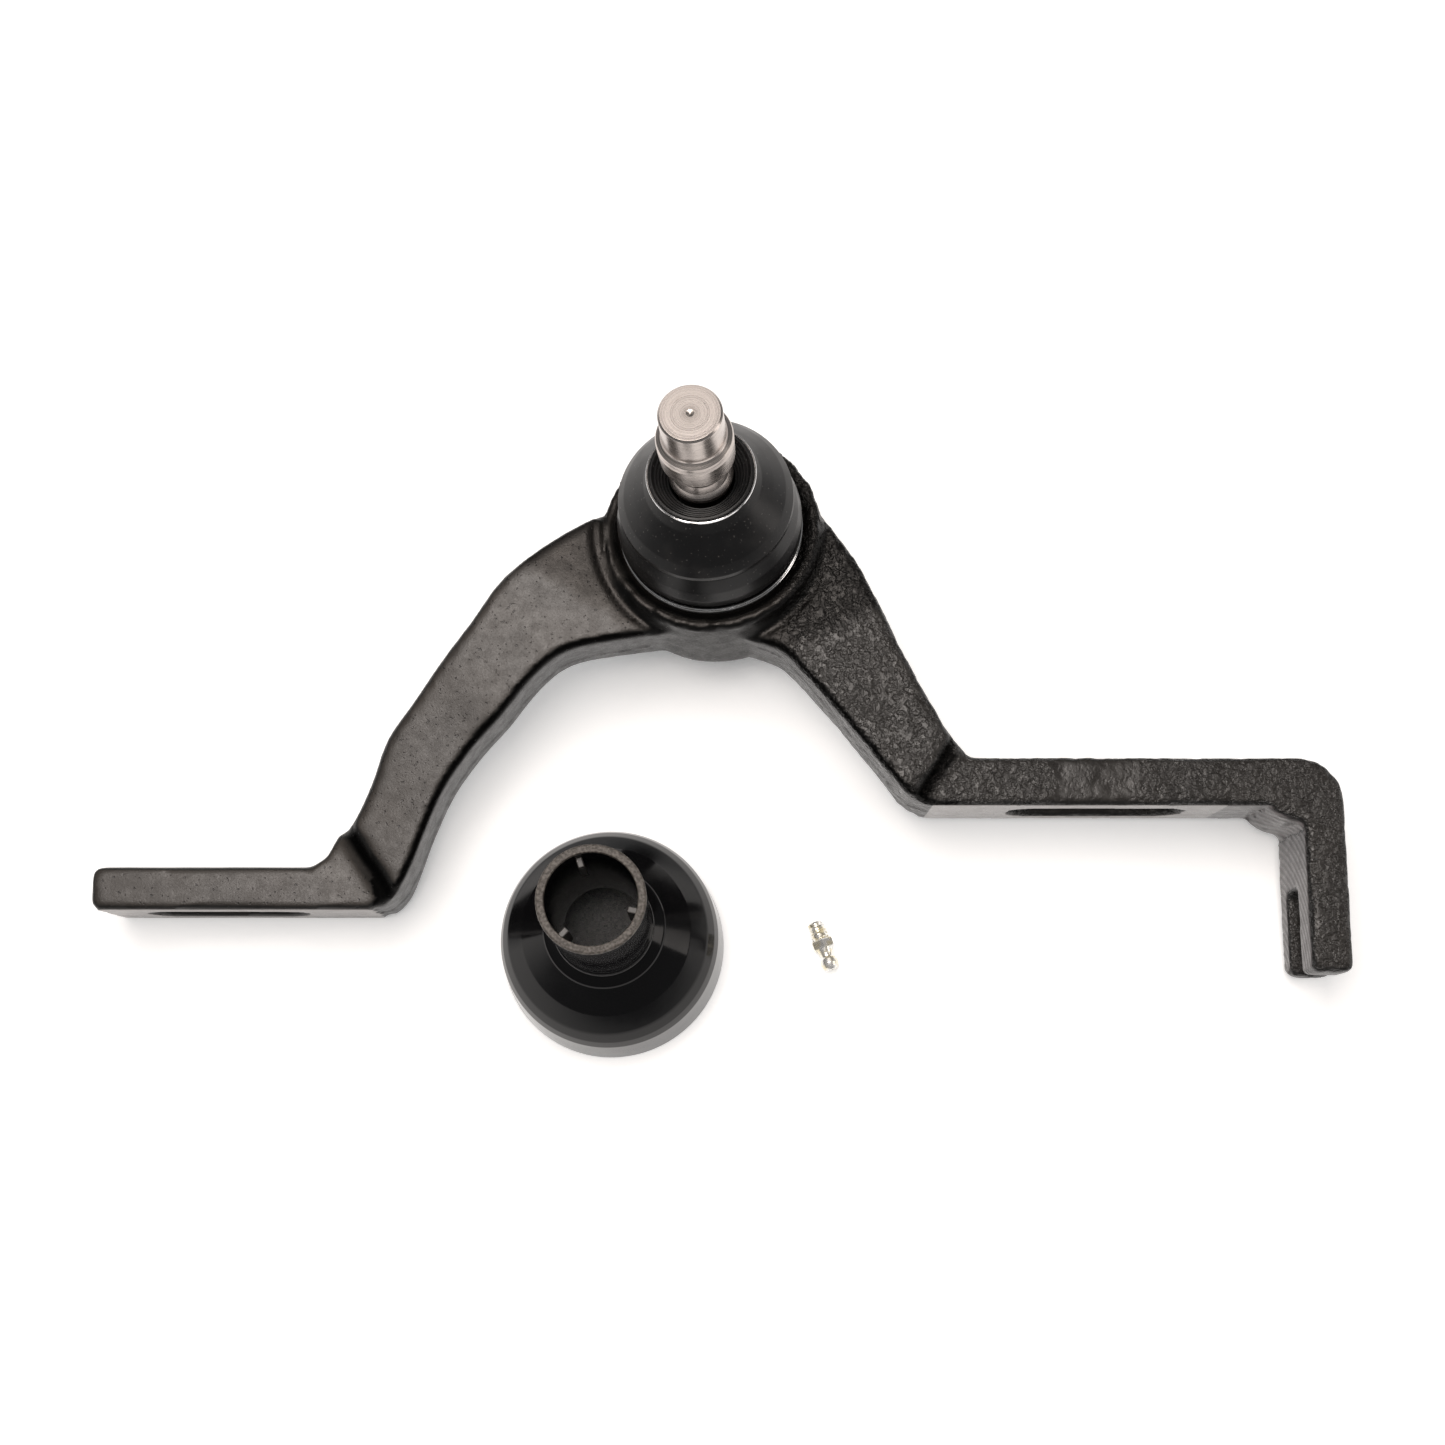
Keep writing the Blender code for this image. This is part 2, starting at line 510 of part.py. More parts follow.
def build_fitting(parts, tools, finishes):
    """The loose grease fitting: hexagonal body, check ball and its spring."""
    axis = bpy.data.objects.new("fitting_axis", None)
    parts.objects.link(axis)
    lay = Matrix.Rotation(FITTING_TURN, 4, "Z") @ Matrix.Rotation(math.radians(90.0), 4, "Y")
    axis.matrix_world = Matrix.Translation((0.0, 0.0, FITTING_FLATS / 2.0 * MM)) @ lay
    thread_top = 6.0
    hex_top = 8.8
    profile = [(0.0, FITTING_LENGTH), (1.7, FITTING_LENGTH), (2.4, FITTING_LENGTH - 0.8),
               (2.8, FITTING_LENGTH - 2.2), (2.4, FITTING_LENGTH - 3.6), (1.9, FITTING_LENGTH - 4.4),
               (2.2, FITTING_LENGTH - 5.6), (2.6, hex_top), (2.6, thread_top - 0.3)]
    ridges = 6
    step = (thread_top - 0.4) / ridges
    for k in range(ridges):
        top = thread_top - 0.4 - k * step
        profile += [(2.35, top), (2.85 - 0.05 * k, top - step / 2.0)]
    profile += [(2.2, 0.0), (0.0, 0.0)]
    body = turned("fitting_body", profile, parts, axis, finishes["zinc"], steps=24)
    combine(body, hexagon(FITTING_FLATS, thread_top, hex_top, "fitting_hexagon", tools, axis), "UNION")
    seat = FITTING_LENGTH - 0.6
    bore = [(0.0, FITTING_LENGTH + 2.0), (0.8, FITTING_LENGTH + 2.0), (0.8, seat), (PASSAGE, seat - 1.0),
            (PASSAGE, 1.2), (0.8, 1.0), (0.8, -2.0), (0.0, -2.0)]
    combine(body, turned("fitting_bore", bore, tools, axis, steps=24), "DIFFERENCE")
    ball_height = seat - 1.75
    bm = bmesh.new()
    bmesh.ops.create_uvsphere(bm, u_segments=14, v_segments=8, radius=CHECK_BALL * MM)
    ball = add_object("check_ball", mesh_from(bm, "check_ball"), parts, axis, finishes["bright"])
    ball.location = (0.0, 0.0, ball_height * MM)
    curve = bpy.data.curves.new("check_spring", "CURVE")
    curve.dimensions = "3D"
    curve.bevel_depth = 0.17 * MM
    curve.bevel_resolution = 1
    curve.use_fill_caps = True
    spline = curve.splines.new("POLY")
    count = 70
    spline.points.add(count)
    foot = 1.6
    top = ball_height - CHECK_BALL - 1.0
    for i, point in enumerate(spline.points):
        angle = math.tau * 7.0 * i / count
        point.co = (1.05 * math.cos(angle) * MM, 1.05 * math.sin(angle) * MM,
                    (foot + (top - foot) * i / count) * MM, 1.0)
    add_object("check_spring", curve, parts, axis, finishes["spring"])
    return axis


def world_bounds(group):
    """Lowest and highest corners of the evaluated objects of a collection."""
    bpy.context.view_layer.update()
    graph = bpy.context.evaluated_depsgraph_get()
    places = []
    for thing in group.objects:
        if thing.type == "EMPTY":
            continue
        evaluated = thing.evaluated_get(graph)
        mesh = evaluated.to_mesh()
        places += [thing.matrix_world @ v.co for v in mesh.vertices]
        evaluated.to_mesh_clear()
    low = Vector([min(p[i] for p in places) for i in range(3)])
    high = Vector([max(p[i] for p in places) for i in range(3)])
    return low, high


def main():
    """Build the arm, lay it on the floor and set the loose pieces beside it."""
    clear_scene()
    parts = collection("control_arm")
    tools = collection("cutters")
    finishes = {
        "black": material("black_paint", (0.035, 0.033, 0.03), 0.45, 0.2),
        "steel": material("turned_steel", (0.62, 0.58, 0.55), 0.28, 1.0),
        "polymer": material("bearing_polymer", (0.75, 0.73, 0.66), 0.5, 0.0),
        "spring": material("spring_steel", (0.3, 0.3, 0.31), 0.35, 1.0),
        "cover": material("cover_steel", (0.25, 0.25, 0.25), 0.45, 0.9),
        "rubber": material("boot_rubber", (0.012, 0.012, 0.013), 0.45, 0.0),
        "bright": material("bright_wire", (0.8, 0.8, 0.8), 0.2, 1.0),
        "plastic": material("shield_plastic", (0.008, 0.008, 0.009), 0.2, 0.0),
        "zinc": material("fitting_zinc", (0.78, 0.77, 0.72), 0.28, 1.0),
    }
    arm_frame = bpy.data.objects.new("arm_frame", None)
    parts.objects.link(arm_frame)
    joint = bpy.data.objects.new("ball_joint_axis", None)
    parts.objects.link(joint)
    joint.parent = arm_frame
    turn = Vector((0.0, 0.0, 1.0)).rotation_difference(joint_axis()).to_matrix().to_4x4()
    joint.matrix_local = Matrix.Translation(ball_centre() * MM) @ turn
    arm_frame.matrix_world = rest_matrix()
    build_forging(parts, tools, arm_frame, joint, finishes["black"])
    build_joint(parts, joint, finishes)
    low, high = world_bounds(parts)
    arm_frame.location.z -= low.z
    shield = build_shield(parts, tools, finishes["plastic"])
    shield.location = (SHIELD_PLACE[0] * MM, SHIELD_PLACE[1] * MM, 0.0)
    fitting = build_fitting(parts, tools, finishes)
    fitting.location.x = FITTING_PLACE[0] * MM
    fitting.location.y = FITTING_PLACE[1] * MM
    low, high = world_bounds(parts)
    middle = Vector(((low.x + high.x) / 2.0, (low.y + high.y) / 2.0, 0.0))
    for thing in parts.objects:
        if thing.parent is None:
            thing.location -= middle
    bpy.context.view_layer.update()


main()
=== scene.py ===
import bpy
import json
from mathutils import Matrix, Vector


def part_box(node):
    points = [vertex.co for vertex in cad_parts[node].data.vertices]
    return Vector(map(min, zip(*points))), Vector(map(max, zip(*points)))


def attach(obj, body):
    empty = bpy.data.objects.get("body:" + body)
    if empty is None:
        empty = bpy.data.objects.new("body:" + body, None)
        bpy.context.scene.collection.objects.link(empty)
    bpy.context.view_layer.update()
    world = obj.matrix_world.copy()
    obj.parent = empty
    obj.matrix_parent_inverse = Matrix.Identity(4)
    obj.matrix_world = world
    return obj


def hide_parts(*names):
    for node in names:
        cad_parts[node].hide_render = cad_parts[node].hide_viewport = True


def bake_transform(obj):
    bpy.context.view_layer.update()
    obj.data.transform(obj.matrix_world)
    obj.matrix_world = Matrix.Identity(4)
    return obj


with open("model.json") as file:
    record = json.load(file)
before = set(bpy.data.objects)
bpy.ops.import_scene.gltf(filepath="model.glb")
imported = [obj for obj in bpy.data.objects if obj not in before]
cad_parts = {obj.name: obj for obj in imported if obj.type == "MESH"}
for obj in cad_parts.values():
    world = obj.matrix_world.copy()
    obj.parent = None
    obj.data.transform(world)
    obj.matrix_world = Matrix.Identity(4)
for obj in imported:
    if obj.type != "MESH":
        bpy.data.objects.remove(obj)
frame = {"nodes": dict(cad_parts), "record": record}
"""Looks of a front suspension control arm, with its loose dust shield and grease fitting.

Sizes are in millimetres in the frame named by each class; MM turns them into metres. The arm
frame has z normal to the arm and y towards the ball joint, and the joint frame has z along the
stud with its origin at the ball's centre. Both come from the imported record.
"""
import json
import logging
import math
from dataclasses import dataclass, field
from enum import Enum

import bmesh
import bpy
import numpy as np
from mathutils import Matrix, Vector, noise

MM = 0.001
log = logging.getLogger("control_arm")
Point = tuple[float, float]
Colour = tuple[float, float, float]
RIGHT_FACE_POINT = (155.0, -31.3, 15.0)


# ---------------------------------------------------------------- frames of reference


def mount(name: str) -> tuple[Vector, Vector]:
    """Read a mount from the record.

    Args:
        name: the mount's name.

    Returns:
        Its point and its outward axis.
    """
    found = next(m for m in frame["record"]["mounts"] if m["name"] == name)
    return Vector(found["pos_m"]), Vector(found["axis"])


def joint(name: str) -> dict:
    """Read a joint from the record.

    Args:
        name: the joint's name.

    Returns:
        Its row.
    """
    return next(j for j in frame["record"]["behaviour"]["joints"] if j["name"] == name)


def arm_place() -> Matrix:
    """Find the arm frame from the two milled faces that stand square in it.

    Returns:
        The matrix from the arm frame, in metres, to the row frame.
    """
    face, front = mount("right_bar_face")
    x_axis = -mount("leg_face")[1].normalized()
    y_axis = -front.normalized()
    z_axis = x_axis.cross(y_axis).normalized()
    turn = Matrix((x_axis, y_axis, z_axis)).transposed()
    origin = face - turn @ (Vector(RIGHT_FACE_POINT) * MM)
    return Matrix.Translation(origin) @ turn.to_4x4()


def joint_place() -> Matrix:
    """Find the joint frame from the joint that spins the stud.

    Returns:
        The matrix from the joint frame, in metres, to the row frame.
    """
    spin = joint("stud_spin")
    z_axis = Vector(spin["axis"]).normalized()
    x_axis = Vector(joint("stud_swing_fore_aft")["axis"])
    x_axis = (x_axis - z_axis * x_axis.dot(z_axis)).normalized()
    turn = Matrix((x_axis, z_axis.cross(x_axis), z_axis)).transposed()
    return Matrix.Translation(Vector(spin["pos_m"])) @ turn.to_4x4()


def fitting_place() -> Matrix:
    """Find the grease fitting's frame: z along it from the thread's end to the nipple.

    Returns:
        The matrix from the fitting's frame, in metres, to the row frame.
    """
    z_axis = -Vector(joint("check_ball_travel")["axis"]).normalized()
    y_axis = Vector((0.0, 0.0, 1.0)).cross(z_axis)
    turn = Matrix((y_axis.cross(z_axis), y_axis, z_axis)).transposed()
    ball = (Vector(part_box("check_ball")[0]) + Vector(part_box("check_ball")[1])) / 2.0
    return Matrix.Translation(ball - z_axis * GreaseFitting.ball_height * MM) @ turn.to_4x4()


def shield_place() -> Matrix:
    """Find the dust shield's frame: z up its axis from the floor.

    Returns:
        The matrix from the shield's frame, in metres, to the row frame.
    """
    low, high = (Vector(c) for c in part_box("dust_shield"))
    return Matrix.Translation(((low.x + high.x) / 2.0, (low.y + high.y) / 2.0, low.z))


# ---------------------------------------------------------------- node trees


class Op(Enum):
    """What a Math node does."""

    ADD = "ADD"
    SUBTRACT = "SUBTRACT"
    MULTIPLY = "MULTIPLY"
    DIVIDE = "DIVIDE"
    MAXIMUM = "MAXIMUM"
    ABOVE = "GREATER_THAN"
    BELOW = "LESS_THAN"
    SINE = "SINE"
    COSINE = "COSINE"
    SQRT = "SQRT"
    ABSOLUTE = "ABSOLUTE"


class Nodes:
    """A tree that is put together node by node."""

    tree: bpy.types.NodeTree
    source: bpy.types.Node

    def add(self, kind: str, **settings: object) -> bpy.types.Node:
        """Add a node.

        Args:
            kind: the node's type.
            **settings: properties to set on it.

        Returns:
            The node.
        """
        node = self.tree.nodes.new(kind)
        for key, value in settings.items():
            setattr(node, key, value)
        return node

    def put(self, socket: bpy.types.NodeSocket, value: object) -> None:
        """Link a socket, or set its own value.

        Args:
            socket: the input to fill.
            value: an output socket, the name of one of the tree's inputs, a number or a tuple.
        """
        if isinstance(value, str):
            value = self.source.outputs[value]
        if isinstance(value, bpy.types.NodeSocket):
            self.tree.links.new(value, socket)
        elif isinstance(value, tuple) and len(value) == 3 and len(socket.default_value) == 4:
            socket.default_value = (*value, 1.0)
        else:
            socket.default_value = value

    def fill(self, node: bpy.types.Node, *inputs: object, **named: object) -> bpy.types.NodeSocket:
        """Fill a node's inputs.

        Args:
            node: the node.
            *inputs: values of its first inputs, in order.
            **named: values of inputs by name, with underscores for spaces.

        Returns:
            Its first output.
        """
        for i, value in enumerate(inputs):
            self.put(node.inputs[i], value)
        for key, value in named.items():
            self.put(node.inputs[key.replace("_", " ")], value)
        return node.outputs[0]

    def make(self, kind: str, *inputs: object, **named: object) -> bpy.types.NodeSocket:
        """Add a node and fill its inputs.

        Args:
            kind: the node's type.
            *inputs: values of its first inputs, in order.
            **named: values of inputs by name.

        Returns:
            Its first output.
        """
        return self.fill(self.add(kind), *inputs, **named)

    def math(self, op: Op, first: object, *others: object) -> bpy.types.NodeSocket:
        """Do arithmetic, from left to right where there are more than two values.

        Args:
            op: what to do.
            first: the first value.
            *others: the values after it.

        Returns:
            The result's socket.
        """
        total = self.fill(self.add("ShaderNodeMath", operation=op.value), first, *others[:1])
        for value in others[1:]:
            total = self.fill(self.add("ShaderNodeMath", operation=op.value), total, value)
        return total

    def times(self, *values: object) -> bpy.types.NodeSocket:
        """Multiply values.

        Args:
            *values: the values.

        Returns:
            The product's socket.
        """
        return self.math(Op.MULTIPLY, *values)

    def plus(self, *values: object) -> bpy.types.NodeSocket:
        """Add values.

        Args:
            *values: the values.

        Returns:
            The sum's socket.
        """
        return self.math(Op.ADD, *values)


class Shader(Nodes):
    """A Principled material."""

    def __init__(self, name: str) -> None:
        """Start an empty material.

        Args:
            name: the material's name.
        """
        self.material = bpy.data.materials.new(name)
        self.material.use_nodes = True
        self.tree = self.material.node_tree
        self.surface = self.tree.nodes["Principled BSDF"]

    def set(self, **inputs: object) -> None:
        """Fill the Principled shader's inputs.

        Args:
            **inputs: input names with underscores for spaces.
        """
        self.fill(self.surface, **inputs)

    def span(self, value: object, low: float, high: float, to_low: float = 0.0,
             to_high: float = 1.0) -> bpy.types.NodeSocket:
        """Map a value smoothly from one range to another, clamped.

        Args:
            value: the value to map.
            low: where the range starts.
            high: where it ends.
            to_low: the result at low.
            to_high: the result at high.

        Returns:
            The result's socket.
        """
        node = self.add("ShaderNodeMapRange", interpolation_type="SMOOTHSTEP")
        return self.fill(node, value, low, high, to_low, to_high)

    def mix(self, amount: object, first: object, second: object) -> bpy.types.NodeSocket:
        """Mix two colours.

        Args:
            amount: how much of the second.
            first: the first colour.
            second: the second colour.

        Returns:
            The colour's socket.
        """
        node = self.add("ShaderNodeMix", data_type="RGBA")
        for i, value in ((0, amount), (6, first), (7, second)):
            self.put(node.inputs[i], value)
        return node.outputs[2]

    def where(self) -> bpy.types.NodeSocket:
        """Read the place on the piece in the row frame.

        Returns:
            The vector's socket, in metres.
        """
        return self.add("ShaderNodeTexCoord").outputs["Object"]

    def local(self, place: Matrix) -> bpy.types.NodeSocket:
        """Read the place on the piece in another frame.

        Args:
            place: that frame's matrix to the row frame.

        Returns:
            The vector's socket, in metres.
        """
        node = self.add("ShaderNodeMapping", vector_type="TEXTURE")
        return self.fill(node, Vector=self.where(), Location=tuple(place.translation),
                         Rotation=tuple(place.to_euler()))

    def parts(self, vector: bpy.types.NodeSocket) -> list[bpy.types.NodeSocket]:
        """Split a vector.

        Args:
            vector: the vector's socket.

        Returns:
            Its x, y and z sockets.
        """
        node = self.add("ShaderNodeSeparateXYZ")
        self.put(node.inputs[0], vector)
        return list(node.outputs)

    def join(self, x: object, y: object, z: object = 0.0) -> bpy.types.NodeSocket:
        """Make a vector.

        Args:
            x: its first part.
            y: its second part.
            z: its third part.

        Returns:
            The vector's socket.
        """
        return self.make("ShaderNodeCombineXYZ", x, y, z)

    def noise(self, vector: bpy.types.NodeSocket, size: float, detail: float = 3.0) -> bpy.types.NodeSocket:
        """Read a noise.

        Args:
            vector: where to read it, in metres.
            size: how large its features are, in millimetres.
            detail: how many finer layers it has.

        Returns:
            The noise's value.
        """
        return self.make("ShaderNodeTexNoise", Vector=vector, Scale=1.0 / (size * MM), Detail=detail)

    def radius(self, x: bpy.types.NodeSocket, y: bpy.types.NodeSocket) -> bpy.types.NodeSocket:
        """Distance from the axis.

        Args:
            x: place across the axis.
            y: place across the axis, square to x.

        Returns:
            The radius's socket.
        """
        return self.math(Op.SQRT, self.plus(self.times(x, x), self.times(y, y)))

    def bump(self, height: object, depth: float) -> bpy.types.NodeSocket:
        """Turn a height into a normal.

        Args:
            height: the height, from 0 to 1.
            depth: what a height of 1 stands for, in millimetres.

        Returns:
            The normal's socket.
        """
        return self.make("ShaderNodeBump", Strength=1.0, Distance=depth * MM, Height=height)


# ---------------------------------------------------------------- finishes


@dataclass(frozen=True)
class ForgedPaint:
    """Black paint over a forged skin, with milled faces left bare, tops lightened by wear and painted
    sheen, and painted shade from the skin's 'seam' attribute.
    """

    paint: Colour = (0.0085, 0.0080, 0.0075)
    # Warm grey-brown of worn paint, partly painted sheen on the tops.
    wear_and_sheen: Colour = (0.060, 0.051, 0.044)
    steel: Colour = (0.275, 0.259, 0.253)
    groove: Colour = (0.262, 0.247, 0.241)
    leg_steel: Colour = (0.110, 0.100, 0.100)
    leg_groove: Colour = (0.060, 0.056, 0.056)
    black: Colour = (0.004, 0.004, 0.004)
    # Near black of the painted shade.
    painted_shade_black: Colour = (0.004, 0.0038, 0.0036)
    corner: float = 154.0
    speckle: float = 0.55
    orange_peel: float = 3.6
    rough_side: float = 18.0
    bar_front: float = -31.3
    bar_start: float = 64.0
    bar_end: float = 176.7
    bar_top: float = 31.4
    left_front: float = -62.0
    left_end: float = -90.0
    leg_face: float = 177.0
    leg_start: float = -38.0
    slack: float = 0.12
    cutter: Point = (92.0, 14.0)
    feed: float = 2.3

    def make(self) -> bpy.types.Material:
        """Build the material.

        Returns:
            The material.
        """
        s = Shader("forged_paint")
        place = s.local(arm_place())
        x, y, z = s.parts(place)
        right = s.span(x, (self.rough_side - 8.0) * MM, (self.rough_side + 8.0) * MM)
        milled = self.milled(s, x, y, z)
        fine = s.noise(place, self.speckle, 2.0)
        middle = s.noise(place, self.orange_peel, 4.0)
        cloud = s.noise(place, 26.0, 3.0)
        wrinkle = s.span(s.noise(place, 1.7, 3.0), 0.30, 0.62)
        dots = s.span(s.noise(place, 1.1, 1.0), 0.34, 0.24)
        calm = s.times(s.span(x, 0.096, 0.104), s.span(x, 0.132, 0.122), s.span(y, -0.033, -0.030))
        rough = s.times(right, s.math(Op.SUBTRACT, 1.0, s.times(calm, 0.7)))
        top = s.parts(s.add("ShaderNodeNewGeometry").outputs["Normal"])[2]
        # Partly wear and partly painted sheen: upward faces lighten, more on the smooth left side than on
        # the rough right side.
        wear_and_sheen = s.times(s.span(top, 0.80, 0.97), s.span(cloud, 0.3, 0.7, 0.6, 1.0),
                       s.span(right, 0.0, 1.0, 0.75, 0.30))
        colour = s.mix(wear_and_sheen, self.paint, self.wear_and_sheen)
        colour = s.mix(s.times(dots, 0.8), colour, self.black)
        marks = self.cutter_marks(s, y, z)
        bare = s.mix(s.span(marks, 0.35, 0.65), self.steel, self.groove)
        bare = s.mix(s.math(Op.ABOVE, x, self.corner * MM), bare,
                     s.mix(marks, self.leg_steel, self.leg_groove))
        # The 'seam' attribute holds painted shade: the elbow bands, the foot of the parting line, the far
        # sides of the shaded lines, the housing's wall and the inner top edges are painted near black and
        # made metallic so that they reflect almost nothing.
        seam = s.add("ShaderNodeAttribute", attribute_name="seam").outputs["Fac"]
        colour = s.mix(seam, colour, self.painted_shade_black)
        s.set(Base_Color=s.mix(milled, colour, bare))
        s.set(Metallic=s.math(Op.MAXIMUM, s.times(milled, 0.85), seam))
        s.set(Roughness=s.plus(s.span(middle, 0.3, 0.7, 0.34, 0.44), s.span(fine, 0.3, 0.7, -0.05, 0.05),
                               s.times(rough, -0.08)))
        broken = s.plus(s.times(wrinkle, 0.62), s.times(middle, 0.9))
        height = s.plus(s.times(fine, 0.09), s.times(dots, -0.12),
                        s.times(broken, s.span(rough, 0.0, 1.0, 0.01, 1.0)))
        painted = s.times(height, s.math(Op.SUBTRACT, 1.0, milled))
        deep = s.span(x, (self.corner - 1.0) * MM, (self.corner + 1.0) * MM, 0.012, 0.12)
        s.set(Normal=s.bump(s.plus(painted, s.times(marks, s.times(milled, deep))), 0.5))
        return s.material

    def milled(self, s: Shader, x: object, y: object, z: object) -> bpy.types.NodeSocket:
        """Find the faces that a cutter has bared.

        Args:
            s: the shader.
            x: place along the bars, in metres.
            y: place towards the ball joint.
            z: height over the arm's frame.

        Returns:
            1 on bare steel, 0 on paint.
        """
        right = s.times(s.math(Op.BELOW, y, (self.bar_front + self.slack) * MM),
                        s.math(Op.ABOVE, x, self.bar_start * MM),
                        s.math(Op.BELOW, x, self.bar_end * MM), s.math(Op.BELOW, z, self.bar_top * MM))
        left = s.times(s.math(Op.BELOW, y, (self.left_front + self.slack) * MM),
                       s.math(Op.BELOW, x, self.left_end * MM))
        off_face = s.math(Op.ABSOLUTE, s.math(Op.SUBTRACT, x, self.leg_face * MM))
        leg = s.times(s.math(Op.BELOW, off_face, self.slack * MM),
                      s.math(Op.BELOW, y, self.leg_start * MM))
        return s.math(Op.MAXIMUM, right, left, leg)

    def cutter_marks(self, s: Shader, y: object, z: object) -> bpy.types.NodeSocket:
        """Draw the arcs that a face cutter leaves.

        Args:
            s: the shader.
            y: place towards the ball joint, in metres.
            z: height over the arm's frame.

        Returns:
            The marks' height, from 0 to 1.
        """
        far = s.radius(s.plus(y, self.cutter[0] * MM), s.plus(z, self.cutter[1] * MM))
        return s.span(s.math(Op.SINE, s.times(far, math.tau / (self.feed * MM))), -1.0, 1.0)


@dataclass(frozen=True)
class TurnedSteel:
    """Turned metal: marks that run round an axis."""

    name: str
    colour: Colour = (0.56, 0.51, 0.48)
    rough: Point = (0.22, 0.34)
    mark: float = 0.16
    depth: float = 0.004

    def make(self, place: Matrix) -> bpy.types.Material:
        """Build the material.

        Args:
            place: the frame whose z axis the marks run round.

        Returns:
            The material.
        """
        s = Shader(self.name)
        where = s.local(place)
        x, y, z = s.parts(where)
        rings = s.join(s.radius(x, y), z)
        marks = s.noise(rings, self.mark, 3.0)
        broad = s.noise(rings, self.mark * 9.0, 2.0)
        stain = s.noise(where, 2.4, 4.0)
        specks = s.span(s.noise(where, 0.5, 1.0), 0.74, 0.78)
        dull = tuple(c * 0.70 for c in self.colour)
        colour = s.mix(s.span(broad, 0.35, 0.7, 0.0, 0.45), self.colour, dull)
        colour = s.mix(s.span(stain, 0.55, 0.8, 0.0, 0.25), colour, (0.30, 0.25, 0.21))
        # Painted shade in the centre hole: darker within 2.6 mm of the axis.
        centre = s.span(s.radius(x, y), 2.6 * MM, 0.4 * MM)
        colour = s.mix(s.times(centre, 0.45), colour, (0.16, 0.14, 0.12))
        colour = s.mix(s.times(specks, 0.8), colour, (0.05, 0.045, 0.04))
        s.set(Base_Color=colour, Metallic=1.0)
        s.set(Roughness=s.span(marks, 0.3, 0.7, *self.rough))
        s.set(Normal=s.bump(marks, self.depth))
        return s.material


@dataclass(frozen=True)
class Moulded:
    """Rubber or plastic with a faint grain and dust."""

    name: str
    colour: Colour
    rough: Point
    grain: float = 0.5
    depth: float = 0.01
    dust: float = 0.05
    index: float = 1.5

    def make(self, rim_above: float | None = None) -> bpy.types.Material:
        """Build the material.

        Args:
            rim_above: height in metres over which the piece is scuffed to a matt grey.

        Returns:
            The material.
        """
        s = Shader(self.name)
        where = s.where()
        height = s.noise(where, self.grain, 2.0)
        cloud = s.noise(where, 9.0, 4.0)
        specks = s.span(s.noise(where, 0.7, 0.0), 0.77, 0.80)
        colour = s.mix(s.times(s.span(cloud, 0.45, 0.75), self.dust), self.colour, (0.25, 0.23, 0.21))
        colour = s.mix(s.times(specks, self.dust * 4.0), colour, (0.4, 0.38, 0.36))
        rough = s.span(cloud, 0.3, 0.7, *self.rough)
        if rim_above is not None:
            z = s.parts(where)[2]
            rim = s.span(z, rim_above - 0.3 * MM, rim_above + 0.1 * MM)
            scratch = s.noise(where, 0.9, 5.0)
            grey = s.mix(s.span(scratch, 0.35, 0.7), (0.055, 0.048, 0.042), (0.16, 0.145, 0.13))
            colour = s.mix(rim, colour, grey)
            rough = s.plus(rough, s.times(rim, 0.38))
            height = s.plus(height, s.times(scratch, rim, 5.0))
        s.set(Base_Color=colour, Roughness=rough, IOR=self.index)
        s.set(Normal=s.bump(height, self.depth))
        return s.material


@dataclass(frozen=True)
class Plated:
    """Bright plating or wire, with yellow tints and small dents."""

    name: str
    colour: Colour
    tint: Colour
    rough: Point = (0.10, 0.18)
    metal: float = 1.0

    def make(self) -> bpy.types.Material:
        """Build the material.

        Returns:
            The material.
        """
        s = Shader(self.name)
        where = s.where()
        cloud = s.noise(where, 2.2, 3.0)
        fine = s.noise(where, 0.35, 2.0)
        s.set(Base_Color=s.mix(s.span(cloud, 0.42, 0.62), self.colour, self.tint), Metallic=self.metal)
        s.set(Roughness=s.span(fine, 0.3, 0.7, *self.rough))
        s.set(Normal=s.bump(fine, 0.02))
        return s.material


STEEL = TurnedSteel("turned_steel")
SPRING = TurnedSteel("spring_steel", (0.30, 0.30, 0.31), (0.3, 0.42), 0.5, 0.008)
COVER = TurnedSteel("cover_steel", (0.09, 0.09, 0.09), (0.4, 0.55), 0.6, 0.02)
RUBBER = Moulded("boot_rubber", (0.0065, 0.0065, 0.007), (0.30, 0.40), 0.6, 0.006, 0.03, 1.38)
GLOSS = Moulded("shield_plastic", (0.0035, 0.0035, 0.004), (0.10, 0.16), 1.4, 0.0012, 0.0, 1.33)
POLYMER = Moulded("bearing_polymer", (0.72, 0.70, 0.62), (0.42, 0.55), 0.5, 0.02, 0.1)
WIRE = Plated("bright_wire", (0.90, 0.90, 0.91), (0.78, 0.77, 0.76))
ZINC = Plated("fitting_zinc", (0.90, 0.90, 0.88), (0.84, 0.78, 0.60), (0.20, 0.34), 0.75)


# ---------------------------------------------------------------- mesh helpers


